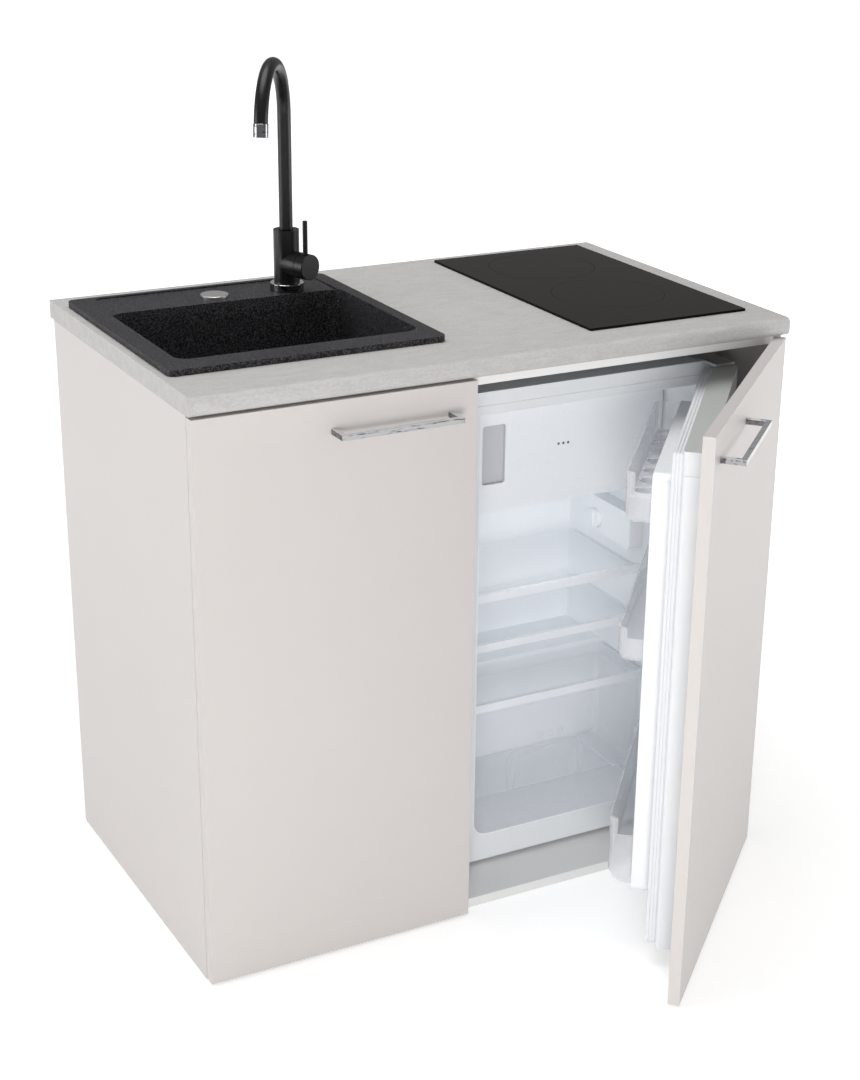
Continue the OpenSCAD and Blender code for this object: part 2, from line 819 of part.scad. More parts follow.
module faucet_spout() {
    z0 = body_z1 - stem_depth + fit;
    color(matt_black) translate(tap_at) rotate([0, 0, spout_az]) difference() {
        spout_tube(spout_d, z0, mouth_turn);
        spout_tube(spout_bore, z0 - over, mouth_turn - 2);
    }
}

module aerator() {
    color(chrome) translate(tap_at) rotate([0, 0, spout_az]) at_mouth()
        translate([0, 0, -aerator_h]) difference() {
            cylinder(d = aerator_d, h = aerator_h);
            translate([0, 0, -over]) cylinder(d = aerator_d - 5, h = 5 + over);
            translate([0, 0, 9]) cylinder(d = spout_bore, h = aerator_h);
            for (turn = [0:45:315]) rotate([0, 0, turn]) translate([5, 0, 0]) cylinder(d = 2.4, h = 12);
        }
}

module cartridge_spindle() {
    color(steel) along_barrel() translate([0, 0, barrel_l - spindle_depth]) cylinder(d = spindle_d, h = spindle_h);
}

module lever_cap() {
    color(matt_black) difference() {
        along_barrel() translate([0, 0, cap_l0]) cylinder(d = barrel_d, h = cap_l);
        along_barrel() translate([0, 0, cap_l0 - over])
            cylinder(d = barrel_d - 2 * cap_wall, h = cap_l - cap_wall + over);
        lever_rod();
    }
}

module lever_rod() {
    translate(tap_at) rotate([0, 0, lever_az])
        post([pin_at, 0], barrel_z + barrel_d / 2 - rod_seat, barrel_z + barrel_d / 2 + pin_l, pin_d);
}

module lever_pin() {
    color(matt_black) lever_rod();
}

// ---------------------------------------------------------------- hob

module hob_glass() {
    color(matt_black) slab([glass_x0, glass_y0, top_h], [glass_x1, glass_y1, top_h + glass_t], 3);
}

// Sheet steel tray under the glass, with an empty gland where the mains lead comes in
module hob_housing() {
    color(steel) difference() {
        union() {
            block(hob_a, hob_b);
            translate(gland_at - [0, over, 0]) rotate([-90, 0, 0]) cylinder(d = gland_d, h = over + 2.5);
        }
        block(hob_a + [housing_t, housing_t, housing_t], hob_b + [-housing_t, -housing_t, over]);
        translate(gland_at - [0, 2 * housing_t, 0]) rotate([-90, 0, 0])
            cylinder(d = gland_d - 2 * gland_wall, h = 10);
    }
}

// A cooking zone's heater: a dish of insulation with a coiled element in rings
module heater(y, d) {
    floor_z = housing_z + housing_t;
    translate([zone_x, y, floor_z]) {
        cylinder(d = d * 0.6, h = top_h - floor_z - heater_h);
        translate([0, 0, top_h - floor_z - heater_h]) difference() {
            cylinder(d = d + 2 * heater_wall, h = heater_h);
            translate([0, 0, heater_floor]) cylinder(d = d, h = heater_h);
        }
        for (ring = [0.28, 0.5, 0.72, 0.92])
            translate([0, 0, top_h - floor_z - heater_h + heater_floor + 1]) rotate_extrude()
                translate([ring * d / 2, 0]) circle(d = wire_d);
    }
}

module heater_front() {
    color([0.8, 0.78, 0.72]) heater(zone_front_y, zone_front_d);
}

module heater_rear() {
    color([0.8, 0.78, 0.72]) heater(zone_rear_y, zone_rear_d);
}

module hob_control_board() {
    y0 = hob_a[1] + housing_t + 4;
    mid = y0 + keys_d / 2;
    color([0.1, 0.35, 0.18]) {
        block([zone_x - keys_w / 2, y0, top_h - 8], [zone_x + keys_w / 2, y0 + keys_d, top_h - 6]);
        for (side = [-1.5:1:1.5]) post([zone_x + side * key_pitch, mid], top_h - 6, top_h, key_d);
        for (side = [-1, 1])
            post([zone_x + side * (keys_w / 2 - 6), mid], housing_z + housing_t, top_h - 8, 6);
    }
}

// Spring clamps from the tray's sides to the worktop's underside
module hob_clamps() {
    half = clamp_w / 2;
    color(steel) for (y = [cut_y0 + clamp_side, cut_y1 - clamp_side]) {
        block([hob_a[0] - clamp_t, y - half, under_z - 14], [hob_a[0], y + half, top_h - 6]);
        block([cut_x0 - 10, y - half, under_z - 2], [hob_a[0], y + half, under_z]);
        block([hob_b[0], y - half, under_z - 14], [hob_b[0] + clamp_t, y + half, top_h - 6]);
        block([hob_b[0], y - half, under_z - 2], [cut_x1 + 10, y + half, under_z]);
    }
}

// ---------------------------------------------------------------- fridge cabinet

// The inside's front view: square above, round corners below
module room_section(grow) {
    r = liner_r + grow;
    x0 = room_x0 - grow;
    x1 = room_x1 + grow;
    z0 = room_z0 - grow;
    translate([x0, z0 + r]) square([x1 - x0, room_z1 + grow - z0 - r]);
    translate([x0 + r, z0]) square([x1 - x0 - 2 * r, 2 * r]);
    for (x = [x0 + r, x1 - r]) translate([x, z0 + r]) circle(r);
}

// The inside as a solid, from the plane y0 back, with the step over the compressor left out
module room(grow, y0) {
    difference() {
        along_y(y0, room_y1 + grow) room_section(grow);
        block([room_x0 - 40, step_y + grow, 0], [room_x1 + 40, fridge_y1, step_z - grow]);
    }
}

module fridge_cabinet() {
    color(plastic_white) difference() {
        block([fridge_x0, fridge_y0, fridge_z0], [fridge_x1, fridge_y1, fridge_z1]);
        room(liner_t, fridge_y0 - over);
        block([fridge_x0 + skin_t, notch_y, fridge_z0 - over],
              [fridge_x1 - skin_t, fridge_y1 + over, notch_z]);
        block([fridge_x0 - over, fridge_y0 - over, groove_z - 1],
              [fridge_x1 + over, fridge_y0 + 1.5, groove_z + 1]);
    }
}

// Ledges that carry a glass plate, one on each side wall
module shelf_ribs(plate) {
    for (x = [room_x0 - over, room_x1 - rib_w])
        block([x, plate[1] + trim_d + 1, plate[0] - rib_h],
              [x + rib_w + over, plate[1] + plate[2] - 4, plate[0]]);
}

module fridge_liner() {
    color(plastic_white) {
        difference() {
            room(liner_t, fridge_y0);
            room(0, fridge_y0 - over);
        }
        for (plate = [upper, lower, cover]) shelf_ribs(plate);
        for (x = [room_x0 + 40, room_x1 - 52])
            block([x, drawer_y0 + 4, room_z0 - over], [x + 12, drawer_y1 - 4, drawer_z0 - fit]);
        post(flap_pivot, flap_z1 - flap_pin_h, room_z1 + over, flap_pin_d);
    }
}

// Cold sleeve of the freezer compartment. Its floor runs on under the flap and holds the lower pin.
module freezer_box() {
    y0 = flap_y0 + flap_t + 4;
    color(plastic_white) {
        difference() {
            block([room_x0, flap_y0 + 1, freezer_z0 - freezer_floor], [room_x1, room_y1, room_z1]);
            block([room_x0 - over, flap_y0, freezer_z0], [room_x1 + over, y0, room_z1 + over]);
            block([room_x0 + 3, y0 - over, freezer_z0], [room_x1 - 3, room_y1 - 3, room_z1 - 3]);
        }
        post(flap_pivot, freezer_z0 - over, flap_z0 + flap_pin_h, flap_pin_d);
    }
}

// Freezer flap with a sunk finger grip at its left end
module freezer_flap() {
    x0 = room_x0 + flap_side;
    color(plastic_white) difference() {
        slab([x0, flap_y0, flap_z0], [room_x1 - flap_side - 1, flap_y0 + flap_t, flap_z1], 2);
        along_y(flap_y0 - over, flap_y0 + 8)
            round_rect([x0 + 47, flap_z0 + 37], [x0 + 89, flap_z1 - 47], 5);
        for (z = [flap_z0 - over, flap_z1 - flap_pin_h - 1])
            post(flap_pivot, z, z + flap_pin_h + 1 + over, flap_pin_d + 2 * turn_fit);
    }
}

module shelf_glass(plate) {
    block([room_x0 + shelf_play, plate[1] + 2, plate[0]],
          [room_x1 - shelf_play, plate[1] + plate[2], plate[0] + shelf_t]);
}

module glass_shelves() {
    color(clear_blue) for (plate = [upper, lower]) shelf_glass(plate);
}

module crisper_cover() {
    color(clear_blue) shelf_glass(cover);
}

// White strips along the front edges of the glass plates
module shelf_trims() {
    color(plastic_white) for (plate = [upper, lower, cover]) difference() {
        z1 = plate[0] + shelf_t + 2;
        block([room_x0 + 0.5, plate[1], z1 - trim_h], [room_x1 - 0.5, plate[1] + trim_d, z1]);
        shelf_glass(plate);
    }
}

// An arch as seen from the front, standing on a base line
module arch(at, w, h) {
    r = w * 0.22;
    translate([at[0] - w / 2, at[1]]) square([w, h - r]);
    translate([at[0] - w / 2 + r, at[1]]) square([w - 2 * r, h]);
    for (side = [-1, 1]) translate([at[0] + side * (w / 2 - r), at[1] + h - r]) circle(r);
}

// Clear vegetable drawer with a raised arch for a grip
module crisper_drawer() {
    mid = (drawer_x0 + drawer_x1) / 2;
    color(clear_blue) {
        difference() {
            slab([drawer_x0, drawer_y0, drawer_z0], [drawer_x1, drawer_y1, drawer_z1], 8);
            slab([drawer_x0 + clear_t, drawer_y0 + clear_t, drawer_z0 + clear_t],
                 [drawer_x1 - clear_t, drawer_y1 - clear_t, drawer_z1 + over], 8 - clear_t);
        }
        along_y(drawer_y0 - 4, drawer_y0 + 1) difference() {
            arch([mid, drawer_z0 + 4], grip_w, grip_h);
            arch([mid, drawer_z0 + 4 - over], grip_w - 2 * grip_line, grip_h - grip_line + over);
        }
    }
}

module thermostat_housing() {
    x0 = room_x1 - housing_w;
    color(plastic_white) difference() {
        along_x(x0, room_x1) round_rect([lamp_y0, lamp_z0], [lamp_y1, lamp_z1], 8);
        translate([x0 - over, dial_at[0], dial_at[1]]) rotate([0, 90, 0])
            cylinder(d = dial_stem_d + 2 * turn_fit, h = 14 + over);
    }
}

// Dial on a short spindle, with a raised pointer
module thermostat_dial() {
    x0 = room_x1 - housing_w;
    color(plastic_white) {
        translate([x0 - dial_h, dial_at[0], dial_at[1]]) rotate([0, 90, 0]) {
            cylinder(d = dial_d, h = dial_h - fit);
            cylinder(d = dial_stem_d, h = dial_h + 12);
        }
        block([x0 - dial_h - 2, dial_at[0] - 2, dial_at[1] - dial_d / 2 + 3],
              [x0 - dial_h + 1, dial_at[0] + 2, dial_at[1] + dial_d / 2 - 3]);
    }
}

// ---------------------------------------------------------------- cooling unit

module compressor_tray() {
    color(steel) block([fridge_x0 + skin_t, notch_y, fridge_z0],
                       [fridge_x1 - skin_t, fridge_y1, fridge_z0 + tray_t]);
}

// Hermetic can on a base plate with four rubber feet, and its terminal cover
module compressor() {
    can_z = comp_z + comp_foot_h + 6;
    color(matt_black) {
        translate([comp_at[0], comp_at[1], can_z]) rotate_extrude() {
            square([comp_r - comp_edge, comp_h]);
            translate([0, comp_edge]) square([comp_r, comp_h - 2 * comp_edge]);
            for (z = [comp_edge, comp_h - comp_edge]) translate([comp_r - comp_edge, z]) circle(comp_edge);
        }
        block([comp_at[0] - 60, comp_at[1] - 44, comp_z + comp_foot_h],
              [comp_at[0] + 60, comp_at[1] + 44, can_z + 2]);
        for (x = [-50, 50], y = [-34, 34])
            post([comp_at[0] + x, comp_at[1] + y], comp_z, comp_z + comp_foot_h, 16);
        block([comp_at[0] - comp_r - 16, comp_at[1] - 20, can_z + 30],
              [comp_at[0] - comp_r + 10, comp_at[1] + 20, can_z + 76]);
    }
}

// Wire-on-tube grid on the fridge's back
module condenser() {
    y = fridge_y1 + 4 + grid_tube / 2;
    x0 = fridge_x0 + 40;
    x1 = fridge_x1 - 40;
    z0 = notch_z + 30;
    z1 = z0 + (grid_rows - 1) * grid_pitch;
    color(dark_grey) {
        for (z = [z0:grid_pitch:z1]) translate([x0, y, z]) rotate([0, 90, 0])
            cylinder(d = grid_tube, h = x1 - x0);
        for (row = [0:grid_rows - 2])
            post([row % 2 == 0 ? x1 : x0, y], z0 + row * grid_pitch, z0 + (row + 1) * grid_pitch,
                 grid_tube - 0.6);
        for (x = [x0 + 22:36:x1 - 20])
            block([x - 1, y + grid_tube / 2 - 1, z0 - 10], [x + 1, y + grid_tube / 2 + 1, z1 + 10]);
        for (x = [x0 + 40, x1 - 40], z = [z0, z1]) block([x - 5, fridge_y1, z - 6], [x + 5, y, z + 6]);
    }
}

module fridge_feet() {
    color(matt_black) for (x = [fridge_x0 + 35, fridge_x1 - 35], y = [fridge_y0 + 35, fridge_y1 - 25])
        post([x, y], board_t, fridge_z0, 30);
}

// Upper and lower hinge plates, each with a pin on the door's axis
module fridge_hinge_plates() {
    x0 = fridge_x1 - hinge_plate_w;
    y0 = door_pivot[1] - 14;
    y1 = fridge_y0 + hinge_plate_d;
    low_z = door_z0 - 2;
    top_z = door_z1 + 1;
    color(steel) {
        block([x0, fridge_y0 + 4, fridge_z1], [fridge_x1, y1, top_z]);
        block([x0, y0, top_z], [fridge_x1, y1, top_z + hinge_plate_t]);
        post(door_pivot, door_z1 - bush_h, top_z + over, hinge_pin_d);
        block([x0, y0, low_z - hinge_plate_t], [fridge_x1, fridge_y0, low_z]);
        block([x0, fridge_y0 - door_gap + 0.2, fridge_z0], [fridge_x1, fridge_y0, low_z]);
        post(door_pivot, low_z - over, door_z0 + bush_h, hinge_pin_d);
    }
}

// Plain bushes between the hinge pins and the door
module fridge_hinge_bushes() {
    color(matt_black) for (z = [door_z0 + fit, door_z1 - bush_h - fit])
        translate([door_pivot[0], door_pivot[1], z]) difference() {
            cylinder(d = bush_d, h = bush_h);
            translate([0, 0, -over]) cylinder(d = hinge_pin_d + 2 * turn_fit, h = bush_h + 2 * over);
        }
}

// ---------------------------------------------------------------- fridge door

module fridge_door_shell() {
    color(plastic_white) on_fridge_door() difference() {
        slab([door_x0, door_y0, door_z0], [door_x1, door_y1, door_z1], door_r);
        for (z = [door_z0 - over, door_z1 - bush_h - 1])
            post([0, 0], z, z + bush_h + 1 + over, bush_d + 2 * turn_fit);
        difference() {
            block([door_x0 - over, door_y0 - over, seam_z - 0.8],
                  [door_x1 + over, door_y1 + over, seam_z + 0.8]);
            slab([door_x0 + 1, door_y0 + 1, seam_z - 2], [door_x1 - 1, door_y1 + 2, seam_z + 2], door_r - 1);
        }
    }
}

// Inner door liner: a flange, a raised frame and the pocket that holds the bins
module fridge_door_liner() {
    color(plastic_white) on_fridge_door() {
        along_y(door_y1, door_y1 + 2)
            round_rect([door_x0 + gasket_w + 6, door_z0 + gasket_w + 6],
                       [-gasket_w - 6, door_z1 - gasket_w - 6], 8);
        difference() {
            along_y(door_y1 + 1, raise_d) round_rect([raise_x0, raise_z0], [raise_x1, raise_z1], 14);
            block([pocket_x0, pocket_d, pocket_z0], [pocket_x1, raise_d + over, raise_z1 - 14]);
        }
    }
}

module door_gasket() {
    x0 = door_x0 + 5;
    x1 = -3;
    z0 = door_z0 + 5;
    z1 = door_z1 - 5;
    color([0.93, 0.94, 0.95]) on_fridge_door() along_y(door_y1, door_y1 + gasket_t) difference() {
        round_rect([x0, z0], [x1, z1], 6);
        round_rect([x0 + gasket_w, z0 + gasket_w], [x1 - gasket_w, z1 - gasket_w], 4);
    }
}

// A bin's outline from above, shrunk by a margin: narrow in the pocket, wide in front of it
module bin_plan(margin) {
    r = bin_r - margin;
    x0 = bin_x0 + margin;
    x1 = bin_x1 - margin;
    y1 = bin_d - margin;
    y0 = raise_d + fit + margin;
    translate([pocket_x0 + fit + margin, pocket_d + fit + margin])
        square([pocket_x1 - pocket_x0 - 2 * fit - 2 * margin, y1 - pocket_d - fit - margin - r]);
    translate([x0, y0]) square([x1 - x0, y1 - y0 - r]);
    translate([x0 + r, y0]) square([x1 - x0 - 2 * r, y1 - y0]);
    for (x = [x0 + r, x1 - r]) translate([x, y1 - r]) circle(r);
}

// A bin as a solid from the side: a flat floor that rolls up into the front wall
module bin_solid(z0, z1, roll, margin) {
    intersection() {
        translate([0, 0, z0]) linear_extrude(z1 - z0) bin_plan(margin);
        along_x(bin_x0 - over, bin_x1 + over) {
            r = roll - margin;
            translate([0, z0 + margin + r]) square([bin_d - margin, z1 - z0 - r]);
            translate([0, z0 + margin]) square([bin_d - margin - r, 2 * r]);
            translate([bin_d - margin - r, z0 + margin + r]) circle(r);
        }
    }
}

// Clear door bin: its ends are lower than its front rim
module bin(z0, end_z, rim_z, roll) {
    on_fridge_door() difference() {
        bin_solid(z0, rim_z, roll, 0);
        bin_solid(z0, rim_z + over, roll, clear_t);
        block([bin_x0 - over, 0, end_z], [bin_x1 + over, bin_d - 14, rim_z + over]);
    }
}

module bin_upper() {
    z0 = room_z1 - bin_upper_drop;
    z1 = z0 + bin_upper_h;
    color(clear_blue) bin(z0, z1 - dip_upper, z1, bin_roll);
}

module bin_middle() {
    z0 = room_z0 + bin_middle_z;
    z1 = z0 + bin_middle_h;
    color(clear_blue) bin(z0, z1 - dip_middle, z1, bin_roll);
}

module bin_lower() {
    z1 = pocket_z0 + bin_lower_h;
    color(clear_blue) bin(pocket_z0 + fit, z1 - dip_lower, z1, bin_lower_roll);
}

// Each bracket: a foot on the door's face, an arm and a round shoe that runs in its rail
module slide_brackets() {
    color(plastic_white) on_fridge_door() for (z = slide_zs) {
        block([-slide_s - 22, door_y0 - 3, z - 16], [-slide_s + 22, door_y0, z + 16]);
        block([-slide_s - 4, shoe_y, z - 5], [-slide_s + 4, door_y0 - 2, z + 5]);
        post([-slide_s, shoe_y], z - shoe_h / 2, z + shoe_h / 2, 2 * shoe_r);
    }
}

// ---------------------------------------------------------------- fronts

// Each rail: two lips on the front's inner face, joined at their ends, with the shoe between
module slide_rails() {
    half = rail_gap / 2 + rail_lip;
    color(plastic_white) on_right_front() for (z = slide_zs) difference() {
        block([-rail_s1, front_t, z - half], [-rail_s0, front_t + rail_d, z + half]);
        block([-rail_s1 + 5, front_t - over, z - rail_gap / 2],
              [-rail_s0 - 5, front_t + rail_d + over, z + rail_gap / 2]);
    }
}

// A front panel from its hinged edge at x = 0, with the cups' pockets in its inner face
module front_panel(w, side) {
    mirror([side < 0 ? 1 : 0, 0, 0]) difference() {
        block([0, 0, front_z0], [w, front_t, front_z1]);
        for (z = hinge_zs) translate([cup_edge, front_t - cup_h, z]) rotate([-90, 0, 0])
            cylinder(d = cup_d, h = cup_h + over);
        for (x = handle_legs(w)) translate([x, -over, handle_z]) rotate([-90, 0, 0])
            cylinder(d = screw_d, h = front_t + 2 * over);
    }
}

function handle_legs(w) = [w - handle_edge - handle_t / 2, w - handle_edge - handle_w + handle_t / 2];

// A bar handle: a square bar on two legs, with a screw into each leg from behind the front
module bar_handle(w, side) {
    x1 = w - handle_edge;
    x0 = x1 - handle_w;
    z0 = handle_z - handle_t / 2;
    z1 = handle_z + handle_t / 2;
    mirror([side < 0 ? 1 : 0, 0, 0]) {
        block([x0, -handle_reach, z0], [x1, -handle_reach + handle_t, z1]);
        for (x = handle_legs(w)) {
            block([x - handle_t / 2, -handle_reach, z0], [x + handle_t / 2, 0, z1]);
            translate([x, -over, handle_z]) rotate([-90, 0, 0]) cylinder(d = screw_d, h = over + front_t);
            translate([x, front_t, handle_z]) rotate([-90, 0, 0]) cylinder(d = 2 * screw_d, h = 2.5);
        }
    }
}

// The links that hold a cup, seen in the shut front's frame
module hinge_link(s0, z) {
    block([s0, link_in, z - link_h / 2], [s0 + link_l, link_out, z + link_h / 2]);
}

// Hinge cups, each with its flange on the front's inner face
module hinge_cups(side) {
    mirror([side < 0 ? 1 : 0, 0, 0]) for (z = hinge_zs) {
        difference() {
            translate([cup_edge, front_t - cup_h, z]) rotate([-90, 0, 0]) cylinder(d = cup_d, h = cup_h);
            translate([cup_edge, front_t - cup_h + cup_floor, z]) rotate([-90, 0, 0])
                cylinder(d = cup_d - 2 * cup_wall, h = cup_h);
        }
        difference() {
            block([cup_edge - cup_plate_w / 2, front_t, z - 30],
                  [cup_edge + cup_plate_w / 2, front_t + 1.2, z + 30]);
            translate([cup_edge, front_t - over, z]) rotate([-90, 0, 0])
                cylinder(d = cup_d - 2 * cup_wall, h = 4);
        }
    }
}

module right_door_panel() {
    color(front_white) on_right_front() front_panel(right_front_w, -1);
}

module right_handle() {
    color(chrome) on_right_front() bar_handle(right_front_w, -1);
}

// Block inside each cup that the links bear on
module cup_hubs(side, top) {
    mirror([side < 0 ? 1 : 0, 0, 0]) for (z = hinge_zs)
        block([cup_edge - 6, front_t - cup_h + 1, z - 5], [cup_edge + 6, top, z + 5]);
}

module right_hinge_cups() {
    color(steel) on_right_front() {
        hinge_cups(-1);
        cup_hubs(-1, link_in - fit);
    }
}

module right_hinge_links() {
    color(steel) on_right_front() mirror([1, 0, 0]) for (z = hinge_zs) hinge_link(link_at, z);
}

// Arms on the carcass sides: a plate, a body and two prongs that flank the links
module hinge_arm(z) {
    tip = carcass_y0 + 0.5;
    gap = (link_h + 2) / 2 + prong_t / 2;
    block([0, carcass_y0 + 35, z - arm_plate_h / 2], [arm_plate_t, carcass_y0 + 70, z + arm_plate_h / 2]);
    block([0, carcass_y0 + 22, z - arm_body_h / 2], [arm_t, carcass_y0 + 85, z + arm_body_h / 2]);
    for (side = [-1, 1])
        block([3, tip, z + side * gap - prong_t / 2], [arm_t, carcass_y0 + 24, z + side * gap + prong_t / 2]);
}

module hinge_arms() {
    color(steel) for (z = hinge_zs) {
        translate([inner_left, 0, 0]) hinge_arm(z);
        translate([inner_right, 0, 0]) mirror([1, 0, 0]) hinge_arm(z);
    }
}

module left_door_panel() {
    color(front_white) on_left_front() front_panel(left_front_w, 1);
}

module left_handle() {
    color(chrome) on_left_front() bar_handle(left_front_w, 1);
}

module left_hinge_cups() {
    link_s = inner_left - left_pivot[0] + 3;
    color(steel) on_left_front() {
        hinge_cups(1);
        cup_hubs(1, link_in + 1);
        for (z = hinge_zs) hinge_link(link_s, z);
    }
}

// ---------------------------------------------------------------- drawing

side_panel_left();
side_panel_right();
centre_divider();
base_panel();
back_panel();
front_rails();
rear_rails();
worktop();
sink_bowl();
sink_clips();
waste_flange();
strainer_plug();
bottle_trap();
waste_knob();
faucet_ring();
faucet_body();
faucet_nut();
faucet_spout();
aerator();
cartridge_spindle();
lever_cap();
lever_pin();
hob_glass();
hob_housing();
heater_front();
heater_rear();
hob_clamps();
hob_control_board();
fridge_cabinet();
fridge_liner();
freezer_box();
freezer_flap();
glass_shelves();
crisper_cover();
shelf_trims();
crisper_drawer();
thermostat_housing();
thermostat_dial();
compressor();
compressor_tray();
condenser();
fridge_feet();
fridge_hinge_plates();
fridge_hinge_bushes();
fridge_door_shell();
fridge_door_liner();
door_gasket();
bin_upper();
bin_middle();
bin_lower();
slide_brackets();
slide_rails();
right_door_panel();
right_handle();
right_hinge_cups();
right_hinge_links();
hinge_arms();
left_door_panel();
left_handle();
left_hinge_cups();
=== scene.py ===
"""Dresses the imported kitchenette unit: fronts, sink, tap, hob and small fridge, with a stage."""

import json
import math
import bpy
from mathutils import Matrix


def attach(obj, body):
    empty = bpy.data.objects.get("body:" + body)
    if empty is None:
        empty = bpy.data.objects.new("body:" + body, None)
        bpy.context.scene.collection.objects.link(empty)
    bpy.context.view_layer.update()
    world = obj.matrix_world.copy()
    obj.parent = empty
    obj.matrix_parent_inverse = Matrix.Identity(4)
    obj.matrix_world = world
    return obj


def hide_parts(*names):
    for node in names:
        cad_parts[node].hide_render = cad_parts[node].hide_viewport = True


bl_info = {
    "name": "Kitchenette Unit",
    "version": (1, 0, 0),
    "blender": (4, 5, 0),
    "location": "View3D > Sidebar > Kitchenette",
    "description": "Builds the looks of a kitchenette with sink, hob and fridge on its CAD frame",
    "category": "Object",
}

import bpy
import bmesh
from mathutils import Matrix, Vector

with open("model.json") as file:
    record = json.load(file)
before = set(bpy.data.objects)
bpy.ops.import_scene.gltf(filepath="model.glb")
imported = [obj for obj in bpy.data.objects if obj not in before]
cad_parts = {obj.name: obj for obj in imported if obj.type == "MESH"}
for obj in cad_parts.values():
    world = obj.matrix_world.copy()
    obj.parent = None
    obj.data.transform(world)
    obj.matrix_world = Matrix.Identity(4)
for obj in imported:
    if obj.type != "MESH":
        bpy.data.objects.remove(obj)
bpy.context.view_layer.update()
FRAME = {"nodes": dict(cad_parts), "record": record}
NODES = FRAME["nodes"]

# Places that several steps share, in metres, and headings in degrees
DOOR_ANGLE = 49.3
DOOR_PIVOT = Vector((0.438, -0.219, 0.0))
BOWL_MIDDLE = (-0.2635, -0.001)
BOWL_FLOOR = 0.760
LEDGE_TOP = 0.9295
TAP_AT = (-0.145, 0.176)
KNOB_AT = (-0.267, 0.184)
SPOUT_HEADING = 234.7
LEVER_HEADING = -69.8
WHITE = (1, 1, 1, 1)


# Finishes ---------------------------------------------------------------------------------------


class Term:
    """A socket that takes part in a sum, so that shader maths reads as Python."""

    def __init__(self, finish, socket):
        self.finish = finish
        self.socket = socket

    def _maths(self, operation, *values):
        made = self.finish.node("ShaderNodeMath", {"operation": operation}, dict(enumerate(values)))
        return Term(self.finish, made.outputs[0])

    def __add__(self, other):
        return self._maths("ADD", self, other)

    def __sub__(self, other):
        return self._maths("SUBTRACT", self, other)

    def __rsub__(self, other):
        return self._maths("SUBTRACT", other, self)

    def __mul__(self, other):
        return self._maths("MULTIPLY", self, other)

    def __truediv__(self, other):
        return self._maths("DIVIDE", self, other)

    def __pow__(self, other):
        return self._maths("POWER", self, other)

    def __lt__(self, other):
        return self._maths("LESS_THAN", self, other)

    def __gt__(self, other):
        return self._maths("GREATER_THAN", self, other)

    def __abs__(self):
        return self._maths("ABSOLUTE", self)

    def largest(self, other):
        return self._maths("MAXIMUM", self, other)

    def root(self):
        return self._maths("SQRT", self)

    __radd__ = __add__
    __rmul__ = __mul__


